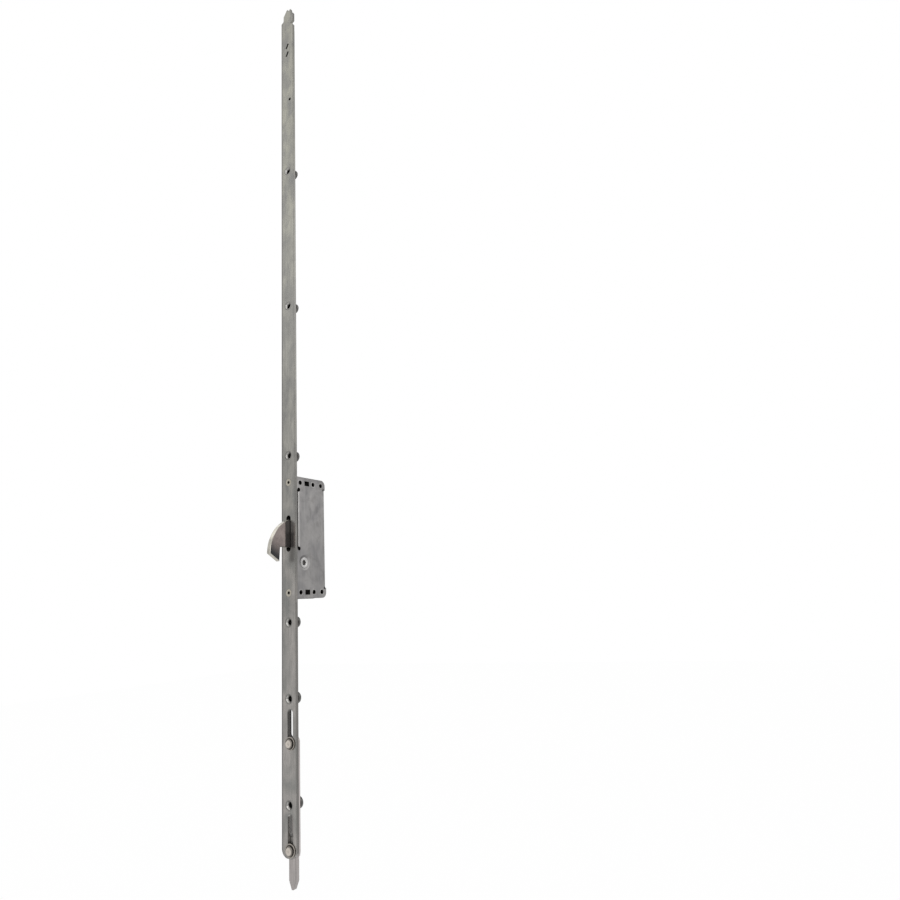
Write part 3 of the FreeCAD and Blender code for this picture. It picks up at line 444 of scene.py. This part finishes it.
# A closed ring or a solid with poles, turned about X or Y from its profile; a lobe makes a six-lobed socket
def turnedMesh(name, profile, axis, segments):
    shape = bmesh.new()
    rings = []
    shadeLayer = shape.verts.layers.float.new("shadeAndGrime")
    for across, along, shadeAndGrime, lobe in profile:
        ring = []
        for step in range(segments):
            angle = 2 * math.pi * step / segments
            reach = across * (1 + lobe * math.cos(6 * angle))
            u, v = reach * math.cos(angle), reach * math.sin(angle)
            place = (u, along, v) if axis == "Y" else (along, u, v)
            ring.append(shape.verts.new(Vector(place) * mm))
            ring[-1][shadeLayer] = shadeAndGrime
        rings.append(ring)
    for index, ring in enumerate(rings):
        following = rings[(index + 1) % len(rings)]
        if profile[index][0] == 0 and profile[(index + 1) % len(rings)][0] == 0:
            continue
        for step in range(segments):
            other = (step + 1) % segments
            shape.faces.new((ring[step], ring[other], following[other], following[step]))
    bmesh.ops.remove_doubles(shape, verts=shape.verts, dist=0.0005 * mm)  # makes one corner of each pole
    bmesh.ops.dissolve_degenerate(shape, edges=shape.edges, dist=0.0002 * mm)
    bmesh.ops.recalc_face_normals(shape, faces=shape.faces)
    mesh = bpy.data.meshes.new(name)
    shape.to_mesh(mesh)
    shape.free()
    return mesh


runNames = ("First", "Second", "Third")


# Puts one turned piece at every point of three straight runs, each turned differently about its own axis
def repeatTree():
    tree = bpy.data.node_groups.new("repeatAlongPlate", "GeometryNodeTree")
    labels = [("Piece", "NodeSocketGeometry")]
    for run in runNames:
        labels += [(run + " Start", "NodeSocketVector"), (run + " Step", "NodeSocketVector"),
                   (run + " Count", "NodeSocketInt")]
    labels += [("Turn Axis", "NodeSocketVector"), ("Turn", "NodeSocketFloat"), ("Seed", "NodeSocketInt"),
               ("Finish", "NodeSocketMaterial")]
    sockets = {}
    for label, kind in labels:
        sockets[label] = tree.interface.new_socket(name=label, in_out="INPUT", socket_type=kind).identifier
    tree.interface.new_socket(name="Pieces", in_out="OUTPUT", socket_type="NodeSocketGeometry")
    given, made = tree.nodes.new("NodeGroupInput"), tree.nodes.new("NodeGroupOutput")
    link = tree.links.new
    joined = tree.nodes.new("GeometryNodeJoinGeometry")
    for run in reversed(runNames):
        line = tree.nodes.new("GeometryNodeMeshLine")
        link(given.outputs[run + " Count"], line.inputs["Count"])
        link(given.outputs[run + " Start"], line.inputs["Start Location"])
        link(given.outputs[run + " Step"], line.inputs["Offset"])
        link(line.outputs[0], joined.inputs[0])
    turn = tree.nodes.new("FunctionNodeRandomValue")
    turn.data_type = "FLOAT"
    floats = [socket for socket in turn.inputs if socket.type == "VALUE"]
    floats[0].default_value = 0.0
    link(given.outputs["Turn"], floats[1])
    link(given.outputs["Seed"], turn.inputs["Seed"])
    angles = tree.nodes.new("ShaderNodeVectorMath")
    angles.operation = "SCALE"
    link(given.outputs["Turn Axis"], angles.inputs[0])
    link([socket for socket in turn.outputs if socket.type == "VALUE"][0], angles.inputs["Scale"])
    placed = tree.nodes.new("GeometryNodeInstanceOnPoints")
    link(joined.outputs[0], placed.inputs["Points"])
    link(given.outputs["Piece"], placed.inputs["Instance"])
    link(angles.outputs[0], placed.inputs["Rotation"])
    real = tree.nodes.new("GeometryNodeRealizeInstances")
    link(placed.outputs[0], real.inputs[0])
    finish = tree.nodes.new("GeometryNodeSetMaterial")
    link(real.outputs[0], finish.inputs["Geometry"])
    link(given.outputs["Finish"], finish.inputs["Material"])
    link(finish.outputs[0], made.inputs[0])
    return tree, sockets


# The turned piece repeated by Geometry Nodes and turned into a plain mesh
def repeated(name, mesh, runs, axis, seed, finish):
    thing = newObject(name, mesh)
    modifier = thing.modifiers.new("repeat", "NODES")
    modifier.node_group = repeatAlongPlate
    unused = ((0, 0, 0), (0, 0, 0), 0)
    for run, (start, step, count) in zip(runNames, list(runs) + [unused] * 2):
        modifier[repeatSockets[run + " Start"]] = [value * mm for value in start]
        modifier[repeatSockets[run + " Step"]] = [value * mm for value in step]
        modifier[repeatSockets[run + " Count"]] = count
    modifier[repeatSockets["Turn Axis"]] = [1.0, 0.0, 0.0] if axis == "X" else [0.0, 1.0, 0.0]
    modifier[repeatSockets["Turn"]] = 2 * math.pi
    modifier[repeatSockets["Seed"]] = seed
    modifier[repeatSockets["Finish"]] = finish
    baked(thing)
    return smoothed(thing, easing["turned"])


repeatAlongPlate, repeatSockets = repeatTree()


# The middle of a CAD part, to a hundredth of a millimetre
def middle(node):
    return [round((min(side) + max(side)) / 2 / mm, 2) for side in zip(*nodes[node].bound_box)]


# Alike CAD parts as a run: the place of the first, the step to the next, and how many. A piece's own profile
# holds its place along its axis
def runOf(axis, *parts):
    first, last = middle(parts[0]), middle(parts[-1])
    along = "XYZ".index(axis)
    first[along] = last[along] = 0
    gaps = max(len(parts) - 1, 1)
    return first, [(end - start) / gaps for start, end in zip(first, last)], len(parts)


# A turned piece repeated along its runs, in place of the CAD parts
def turnedPieces(name, profileOf, size, runs, body, slotName, replaced):
    mesh = turnedMesh(slotName, profileOf(size), size["axis"], size["segments"])
    thing = repeated(name, mesh, runs, size["axis"], size["seed"], materials[slotName])
    handOver(thing, body, replaced)


# These functions say how much painted shade and grime, and how much wear and painted highlight, a face gets,
# from its middle in millimetres and its normal: 0 is none and 1 wholly. A face that looks less than holeWall
# along Y is the wall of a hole
faceplateSettings = {
    "ease": 0.28, "holeWall": 0.75, "top": 480, "halfWidth": 9.2, "tongue": -484,
    "tongueHalf": 6, "cleanBelow": -450, "paleBelow": -350, "paleShadeAndGrime": 0.5, "shadeAndGrime": 0.85,
    "wornFrom": -487, "slotWear": 0.4, "corner": 9.6}


# Painted shade on the walls of the plate's holes, paler low down
def plateShadeAndGrime(size, place, normal):
    reach = size["tongueHalf"] if place.z < size["tongue"] else size["halfWidth"]
    inHole = abs(normal.y) < size["holeWall"] and abs(place.x) < reach
    if not inHole or place.z < size["cleanBelow"] or place.z >= size["top"]:
        return 0.0
    return size["paleShadeAndGrime"] if place.z < size["paleBelow"] else size["shadeAndGrime"]


def plateWearAndHighlight(size, place, normal):
    if place.x > size["corner"] and normal.x > 0.25 and normal.y < -0.25:  # painted highlight along the front corner on the right
        return 1.0
    inSlot = abs(normal.y) < size["holeWall"] and abs(place.x) < size["tongueHalf"]
    return size["slotWear"] if inSlot and size["wornFrom"] < place.z < size["cleanBelow"] else 0.0


rodSettings = {"ease": 0.3, "holeWall": 0.75, "bottom": -490, "top": 478, "halfWidth": 5.5,
               "paleBelow": -450, "paleShadeAndGrime": 0.35, "shadeAndGrime": 0.85}
boltSettings = {**rodSettings, "ease": 0.35, "top": -389, "halfWidth": 4.2, "side": 4.6, "sideWear": 0.4}


# Painted shade on the walls of the holes in the rod and bolt, paler low down
def holeShadeAndGrime(size, place, normal):
    inHole = abs(normal.y) < size["holeWall"] and abs(place.x) < size["halfWidth"]
    if not inHole or not size["bottom"] < place.z < size["top"]:
        return 0.0
    return size["shadeAndGrime"] if place.z > size["paleBelow"] else size["paleShadeAndGrime"]


def boltWear(size, place, normal):
    return size["sideWear"] if abs(normal.x) > 0.5 and abs(place.x) > size["side"] else 0.0


blockSettings = {"ease": 0.3, "outerEnds": (-114.3, -245.7), "rear": 45, "endShadeAndGrime": 0.1, "rearShadeAndGrime": 0.35,
                 "shadeAndGrime": 0.9}


# Painted shade over the blocks inside the case, less on the outer ends and the rear
def blockShadeAndGrime(size, place, normal):
    if abs(normal.z) > 0.5 and any(abs(place.z - level) < 1 for level in size["outerEnds"]):
        return size["endShadeAndGrime"]
    return size["rearShadeAndGrime"] if normal.y > 0.5 and place.y > size["rear"] else size["shadeAndGrime"]


# Places on the case side are (y, z); the two windows lie above and below its middle
caseSettings = {
    "ease": 0.22, "smooth": 16, "inside": 5.2, "rear": 46.2, "shadeAndGrime": 0.95, "rearShadeAndGrime": 0.25,
    "middle": middle("case_cover_right")[2], "window": (18, 59.5), "windowHalf": (3.9, 2.9),
    "reliefs": ((5.3, -193, 2.5), (5.3, -128.5, 2.5), (44.6, -235, 1.6), (44.6, -125, 1.6)),
    "fold": (4.6, 7.2), "foldEnds": (-190.8, -130.7), "foldAcross": 5.25, "foldHighlight": 0.7,
    "pivot": middle("pivot_rivet")[1:], "dishEdge": 8.2, "dishFloor": 7.05, "dishSlope": 2.0,
    "ring": 7.3, "ringHalf": 1.2, "ringTurn": 0.8, "ringShade": 0.45}


# From 1 on the lit side of the sloping dish to -1 on the other side, and 0 off it
def dishLight(size, place, normal):
    along, up = place.y - size["pivot"][0], place.z - size["pivot"][1]
    onRing = abs(math.hypot(along, up) - size["ring"]) < size["ringHalf"]
    if onRing and 0.6 < abs(normal.x) < 0.995:
        return math.cos(math.atan2(up, along) + size["ringTurn"])
    return 0.0


def caseShadeAndGrime(size, place, normal):
    beside, above = size["window"]
    window = (abs(place.y - beside) < size["windowHalf"][0]
              and abs(abs(place.z - size["middle"]) - above) < size["windowHalf"][1])
    relief = any(math.hypot(place.y - y, place.z - z) < reach for y, z, reach in size["reliefs"])
    inner = abs(place.x) < size["inside"] and place.y < size["rear"]
    facesIn = normal.x < -0.5 if place.x > 0 else normal.x > 0.5
    # Painted shade inside the case, on faces that look inwards, and in the windows and reliefs
    if inner or facesIn or abs(normal.x) < 0.6 and (window or relief):
        return size["shadeAndGrime"]
    # Painted shade on the side of the dish turned away from the light
    light = dishLight(size, place, normal)
    if light:
        return max(0.0, -size["ringShade"] * light)
    return size["rearShadeAndGrime"] if place.y > size["rear"] and normal.y > 0.5 else 0.0


def caseHighlight(size, place, normal):
    # Painted highlight along the front fold and on the lit side of the dish
    (low, high), (near, far) = size["foldEnds"], size["fold"]
    onFold = low < place.z < high and near < place.y < far and abs(place.x) > size["foldAcross"]
    if onFold and normal.y < 0.02 and 0.15 < abs(normal.x) < 0.999:
        return size["foldHighlight"]
    return max(0.0, dishLight(size, place, normal))


easedPieces = (
    ("faceplate", "case", "plated_strip", faceplateSettings, plateShadeAndGrime, plateWearAndHighlight),
    ("drive_rod", "rod", "plated_rod", rodSettings, holeShadeAndGrime, None),
    ("shoot_bolt", "rod", "plated_bolt", boltSettings, holeShadeAndGrime, boltWear),
    ("case_cover_right", "case", "case_sheet", caseSettings, caseShadeAndGrime, caseHighlight),
    ("case_cover_left", "case", "case_sheet", caseSettings, caseShadeAndGrime, caseHighlight),
    ("case_block_top", "case", "case_block", blockSettings, blockShadeAndGrime, None),
    ("case_block_bottom", "case", "case_block", blockSettings, blockShadeAndGrime, None))
for node, body, slotName, settings, shadeAndGrimeAt, wornAt in easedPieces:
    piece = softened(node, node + "_eased", settings, shadeAndGrimeAt, wornAt)
    piece.data.materials.clear()
    piece.data.materials.append(materials[slotName])
    handOver(piece, body, (node,))
print("strips and case sides eased")

hookSettings = {"ease": 0.16, "flank": 0.8}


# The hook with dull flanks and a bright ground rim
def hookPiece(settings):
    piece = softened("hook", "hook_blade", settings)
    piece.data.materials.clear()
    piece.data.materials.append(materials["hook_steel"])
    piece.data.materials.append(hookRim)
    for face in piece.data.polygons:
        face.material_index = 0 if abs(face.normal.x) > settings["flank"] else 1
    handOver(piece, "hook", ("hook",))


hookPiece(hookSettings)
print("hook done")


# Sizes across are radii, and each point of a profile says how much painted shade and grime it gets there,
# from 0 to 1
studSettings = {
    "axis": "Y", "segments": 56, "seed": 7, "ease": 0.25, "front": -3.0, "headStart": 5.4,
    "headThickness": 4.0, "sink": 4.2, "collar": 4.85, "neck": 3.4, "head": 6.0, "bore": 2.3,
    "chamfer": 0.9, "backSink": 0.6, "shadow": 2.6}
strapStudSettings = {**studSettings, "seed": 9, "headStart": 7.4}  # its head lies on the bolt's strap


def studProfile(size):
    front, headStart = size["front"], size["headStart"]
    sink, bore, collar, head = size["sink"], size["bore"], size["collar"], size["head"]
    end, slope = headStart + size["headThickness"], sink - bore
    # Painted shade in the bore and countersink, round the collar's outline and on the head's side
    return easedProfile([
        (sink - 0.1, front, 0.75), (collar - 0.3, front, 0.3), (collar, front + 0.02, 0.6), (collar, 0.0),
        (size["neck"], 0.0), (size["neck"], headStart, 0.8), (head, headStart, 0.75),
        (head, end - size["chamfer"], 0.8), (head - size["chamfer"], end, 0.3),
        (bore + size["backSink"], end, 0.1), (bore, end - size["backSink"], 0.9),
        (bore, front + size["shadow"], 1.0), (bore, front + slope, 0.8),
        (bore + slope / 2, front + slope / 2, 0.3), (sink - 0.5, front + 0.4, 0.05)], size["ease"])


studNames = ["guide_stud_%d" % index for index in range(1, 7)]
studRuns = (runOf("Y", *studNames[:4]), runOf("Y", studNames[4]))
turnedPieces("guide_studs", studProfile, studSettings, studRuns, "case", "stud", studNames[:5])
turnedPieces("guide_stud_over_strap", studProfile, strapStudSettings, (runOf("Y", studNames[5]),), "case",
             "stud", studNames[5:])

# The head's dome goes (inward, back, painted shade and grime) from the front of the rim, the tail's bead
# (outward, forward)
camSettings = {
    "axis": "Y", "segments": 56, "seed": 3, "ease": 0.3,
    "flange": 6.5, "flangeFront": -4.1, "flangeBack": -3.3, "throat": 3.6, "head": 4.9, "headBack": -4.9,
    "headFront": -6.3, "neck": 3.3, "neckEnd": 0.3, "shank": 2.8, "tailEnd": 7.95,
    "dimple": 1.0, "dimpleEdge": 1.4, "dimpleDepth": 0.25,
    "dome": ((1.9, 0.0, 0.0), (1.5, 0.12, 0.05), (0.9, 0.5, 0.65), (0.05, 1.2, 0.9)),
    "bead": ((0.0, 1.05), (0.3, 0.9), (0.2, 0.4), (-0.7, 0.0))}


def camProfile(size):
    front, rear, tail = size["headFront"], size["flangeFront"], size["tailEnd"]
    head, flange, neck, shank = size["head"], size["flange"], size["neck"], size["shank"]
    floor = front + size["dimpleDepth"]
    # Painted shade on the head's side, the throat under it and the dome's edge, less on the flange
    return easedProfile([
        (0, floor, 0.15), (size["dimple"], floor, 0.15), (size["dimpleEdge"], front),
        *((head - inward, front + back, shadeAndGrime) for inward, back, shadeAndGrime in size["dome"]),
        (head, size["headBack"], 0.95), (size["throat"], rear, 1.0), (head + 0.5, rear, 0.85),
        (flange - 0.8, rear, 0.45), (flange, rear, 0.35), (flange, size["flangeBack"], 0.7),
        (neck, size["flangeBack"], 0.9), (neck, size["neckEnd"], 0.9), (shank, size["neckEnd"]),
        *((shank + outward, tail - forward) for outward, forward in size["bead"]), (0, tail)], size["ease"])


camNames = ("cam_button_upper", "cam_button_lower")
turnedPieces("cam_buttons", camProfile, camSettings, (runOf("Y", *camNames),), "rod", "cam_button", camNames)
print("studs and cams turned")

rivetSettings = {"axis": "X", "segments": 40, "seed": 5, "ease": 0.12, "bore": 2.1, "shank": 2.6, "rim": 3.4,
                 "seat": 7.5, "face": 7.75, "depths": (7.6, 27.8, 40.2)}


# A profile's right half, (radius, across, painted shade and grime), followed by the same on the left
def mirrored(half):
    return half + [(point[0], -point[1]) + tuple(point[2:]) for point in reversed(half)]


def rivetProfile(size):
    seat, face = size["seat"], size["face"]
    return easedProfile(mirrored([
        (size["bore"], seat - 0.9, 1.0), (size["bore"] + 0.2, seat - 0.05, 0.9),
        (size["bore"] + 0.55, face, 0.2), (size["rim"] - 0.35, face), (size["rim"], face - 0.2, 0.5),
        (size["rim"], seat, 0.6), (size["shank"], seat, 0.6)]), size["ease"])


low, high = middle("case_rivets_bottom")[2], middle("case_rivets_top")[2]
rivetRuns = [((0, depth, low), (0, 0, high - low), 2) for depth in rivetSettings["depths"]]
turnedPieces("hollow_rivets", rivetProfile, rivetSettings, rivetRuns, "case", "rivet",
             ("case_rivets_top", "case_rivets_bottom"))

pivotSettings = {"axis": "X", "segments": 64, "seed": 2, "ease": 0.15, "bore": 2.6, "shank": 3.38, "rim": 5.7,
                 "seat": 7.05, "face": 7.65, "flare": 1.2}


def pivotProfile(size):
    seat, face, bore, rim = size["seat"], size["face"], size["bore"], size["rim"]
    return easedProfile(mirrored([
        (bore, seat - 7.0, 0.7), (bore, seat - 4.5, 0.1), (bore, seat - 0.5), (bore + 0.5, face - 0.3),
        (bore + size["flare"], face - 0.02), (rim - 0.8, face), (rim - 0.15, face - 0.25, 0.2),
        (rim, seat, 0.7), (size["shank"], seat, 0.6)]), size["ease"])


turnedPieces("pivot_rivet_rolled", pivotProfile, pivotSettings, (runOf("X", "pivot_rivet"),), "case",
             "pivot_steel", ("pivot_rivet",))

screwSettings = {"axis": "Y", "segments": 60, "seed": 11, "ease": 0.08, "head": 4.1, "shank": 2.0,
                 "front": -3.0, "end": 4.0, "cone": 2.1, "socket": 1.5, "socketDepth": 1.7, "lobe": 0.13}


def screwProfile(size):
    front, end = size["front"], size["end"]
    floor = front + size["socketDepth"]
    # Painted shade in the socket
    return easedProfile([
        (0, floor + 0.4, 1.0), (size["socket"] - 0.1, floor, 1.0, size["lobe"]),
        (size["socket"], front + 0.25, 0.95, size["lobe"]), (size["socket"] + 0.35, front),
        (size["head"] - 0.3, front), (size["head"], front + 0.05, 0.7),
        (size["shank"], front + size["cone"], 0.4), (size["shank"], end - 0.4), (size["shank"] - 0.4, end),
        (0, end)], size["ease"])


turnedPieces("case_screws", screwProfile, screwSettings, (runOf("Y", "case_screw_bottom", "case_screw_top"),),
             "case", "screw", ("case_screw_top", "case_screw_bottom"))
print("rivets and screws turned")

# The CAD parts themselves get the same finishes
for node, thing in nodes.items():
    slotName = next(part["material_slot"] for part in frame["record"]["subparts"] if part["node"] == node)
    thing.data.materials.clear()
    thing.data.materials.append(materials[slotName])


floorSettings = {"level": -0.60, "size": 6.0, "colour": (0.88, 0.88, 0.88), "seenShare": 0.98,
                 "glossyShare": 0.9}


def paleFloor(settings):
    mesh = bpy.data.meshes.new("floor")
    half, level = settings["size"] / 2, settings["level"]
    corners = [(-half, -half, level), (half, -half, level), (half, half, level), (-half, half, level)]
    mesh.from_pydata(corners, [], [(0, 1, 2, 3)])
    floor = newObject("floor", mesh)
    material = bpy.data.materials.new("floor_paint")
    material.use_nodes = True
    tree = material.node_tree
    tree.nodes.clear()
    ray = addNode(tree, "ShaderNodeLightPath")
    gloss = addNode(tree, "ShaderNodeMath", {1: settings["glossyShare"]}, operation="MULTIPLY")
    tree.links.new(ray.outputs["Is Glossy Ray"], gloss.inputs[0])
    seen = addNode(tree, "ShaderNodeMath", {1: settings["seenShare"]}, operation="MULTIPLY")
    tree.links.new(ray.outputs["Is Camera Ray"], seen.inputs[0])
    share = addNode(tree, "ShaderNodeMath", operation="MAXIMUM")
    tree.links.new(seen.outputs[0], share.inputs[0])
    tree.links.new(gloss.outputs[0], share.inputs[1])
    paint = addNode(tree, "ShaderNodeBsdfPrincipled",
                    {"Base Color": settings["colour"] + (1.0,), "Roughness": 0.9})
    white = addNode(tree, "ShaderNodeEmission", {"Color": (1, 1, 1, 1), "Strength": 1.0})
    mixed = addNode(tree, "ShaderNodeMixShader")
    tree.links.new(share.outputs[0], mixed.inputs[0])
    tree.links.new(paint.outputs[0], mixed.inputs[1])
    tree.links.new(white.outputs[0], mixed.inputs[2])
    out = addNode(tree, "ShaderNodeOutputMaterial")
    tree.links.new(mixed.outputs[0], out.inputs["Surface"])
    mesh.materials.append(material)


# What the metal mirrors: heights are (level from 0 to 1, strength), cards (direction, start, end, strength)
worldSettings = {
    "fill": 0.75, "headroom": 1.25,
    "heights": ((0.40, 1.10), (0.47, 0.99), (0.53, 0.82), (0.60, 0.84), (0.68, 1.06), (0.76, 1.14),
                (0.84, 0.80)),
    "cards": (((-0.995, 0.05, 0.0), 0.80, 0.95, 0.3), ((0.66, 0.68, -0.31), 0.93, 0.995, 1.2),
              ((0.62, 0.63, 0.47), 0.955, 0.99, 1.9), ((0.5, 0.5, 0.7), 0.8, 0.97, 0.84),
              ((0.62, 0.0, 0.78), 0.85, 0.96, 1.8), ((0.3, 0.72, -0.63), 0.85, 0.96, 0.12),
              ((0.2, -0.5, 0.84), 0.88, 0.97, 2.2))}


# White where it is seen, a little darker for matt surfaces, with dark and bright cards for metal to mirror
def paleWorld(settings):
    world = bpy.data.worlds.new("studio")
    bpy.context.scene.world = world
    world.use_nodes = True
    tree = world.node_tree
    tree.nodes.clear()
    link = tree.links.new
    ray = addNode(tree, "ShaderNodeLightPath")
    way = addNode(tree, "ShaderNodeTexCoord")
    rise = addNode(tree, "ShaderNodeSeparateXYZ")
    link(way.outputs["Generated"], rise.inputs[0])
    share = addNode(tree, "ShaderNodeMapRange", {"From Min": -1.0, "From Max": 1.0})
    link(rise.outputs["Z"], share.inputs["Value"])
    heights = addNode(tree, "ShaderNodeValToRGB")
    stops = heights.color_ramp.elements
    for index, (place, level) in enumerate(settings["heights"]):
        stop = stops[index] if index < 2 else stops.new(place)
        stop.position = place
        stop.color = (level / settings["headroom"],) * 3 + (1.0,)
    link(share.outputs[0], heights.inputs[0])
    reflected = addNode(tree, "ShaderNodeMath", {1: settings["headroom"]}, operation="MULTIPLY")
    link(heights.outputs[0], reflected.inputs[0])
    for direction, start, end, level in settings["cards"]:
        near = addNode(tree, "ShaderNodeVectorMath", {1: direction}, operation="DOT_PRODUCT")
        link(way.outputs["Generated"], near.inputs[0])
        card = addNode(tree, "ShaderNodeMapRange",
                       {"From Min": start, "From Max": end, "To Min": 1.0, "To Max": level},
                       interpolation_type="SMOOTHSTEP")
        link(near.outputs["Value"], card.inputs["Value"])
        darker = addNode(tree, "ShaderNodeMath", operation="MULTIPLY")
        link(reflected.outputs[0], darker.inputs[0])
        link(card.outputs[0], darker.inputs[1])
        reflected = darker
    glossy = addNode(tree, "ShaderNodeMapRange", {"To Min": settings["fill"]})
    link(ray.outputs["Is Glossy Ray"], glossy.inputs["Value"])
    link(reflected.outputs[0], glossy.inputs["To Max"])
    seen = addNode(tree, "ShaderNodeMath", operation="MAXIMUM")
    link(ray.outputs["Is Camera Ray"], seen.inputs[0])
    link(ray.outputs["Is Transmission Ray"], seen.inputs[1])
    strength = addNode(tree, "ShaderNodeMapRange", {"To Max": 1.0})
    link(seen.outputs[0], strength.inputs["Value"])
    link(glossy.outputs[0], strength.inputs["To Min"])
    sky = addNode(tree, "ShaderNodeBackground", {"Color": (1, 1, 1, 1)})
    link(strength.outputs[0], sky.inputs["Strength"])
    out = addNode(tree, "ShaderNodeOutputWorld")
    link(sky.outputs[0], out.inputs["Surface"])


lampSettings = {
    "key": {"place": (-1.3, -0.1, 1.5), "aim": (0.0, 0.0, 0.0), "size": 1.6, "power": 7.0,
            "colour": (1.0, 0.985, 0.95)},
    "front": {"place": (1.0, -1.15, 0.1), "aim": (0.0, 0.0, -0.15), "size": 0.6, "power": 2.6,
              "colour": (1.0, 1.0, 1.0)},
}


def softLamp(name, settings):
    data = bpy.data.lights.new(name, "AREA")
    data.shape = "SQUARE"
    data.size = settings["size"]
    data.energy = settings["power"]
    data.color = settings["colour"]
    lamp = newObject(name, data)
    place, aim = Vector(settings["place"]), Vector(settings["aim"])
    lamp.location = place
    lamp.rotation_euler = (aim - place).to_track_quat("-Z", "Y").to_euler()


# Solved from points marked on the photo: metres, degrees, and the focal length in pixels of its width
cameraSettings = {"place": (0.524412, -0.527654, -0.261395), "azimuth": 30.9643, "elevation": -13.0484,
                  "roll": -3.3824, "focalPixels": 665.867, "photoWidth": 900, "sensor": 36, "nearest": 0.02}


def photoCamera(settings):
    around, rise, roll = (math.radians(settings[key]) for key in ("azimuth", "elevation", "roll"))
    back = Vector((math.sin(around) * math.cos(rise), -math.cos(around) * math.cos(rise), math.sin(rise)))
    level = Vector((math.cos(around), math.sin(around), 0))
    upright = back.cross(level)
    right = level * math.cos(roll) + upright * math.sin(roll)
    up = upright * math.cos(roll) - level * math.sin(roll)
    data = bpy.data.cameras.new("camera")
    data.sensor_width = settings["sensor"]
    data.lens = settings["focalPixels"] / settings["photoWidth"] * settings["sensor"]
    data.clip_start = settings["nearest"]
    camera = newObject("camera", data)
    turn = Matrix((right, up, back)).transposed().to_4x4()
    camera.matrix_world = Matrix.Translation(Vector(settings["place"])) @ turn
    bpy.context.scene.camera = camera


paleFloor(floorSettings)
paleWorld(worldSettings)
for lampName, lampValues in lampSettings.items():
    softLamp(lampName, lampValues)
photoCamera(cameraSettings)
bpy.context.scene.view_settings.view_transform = "Standard"
print("stage set")
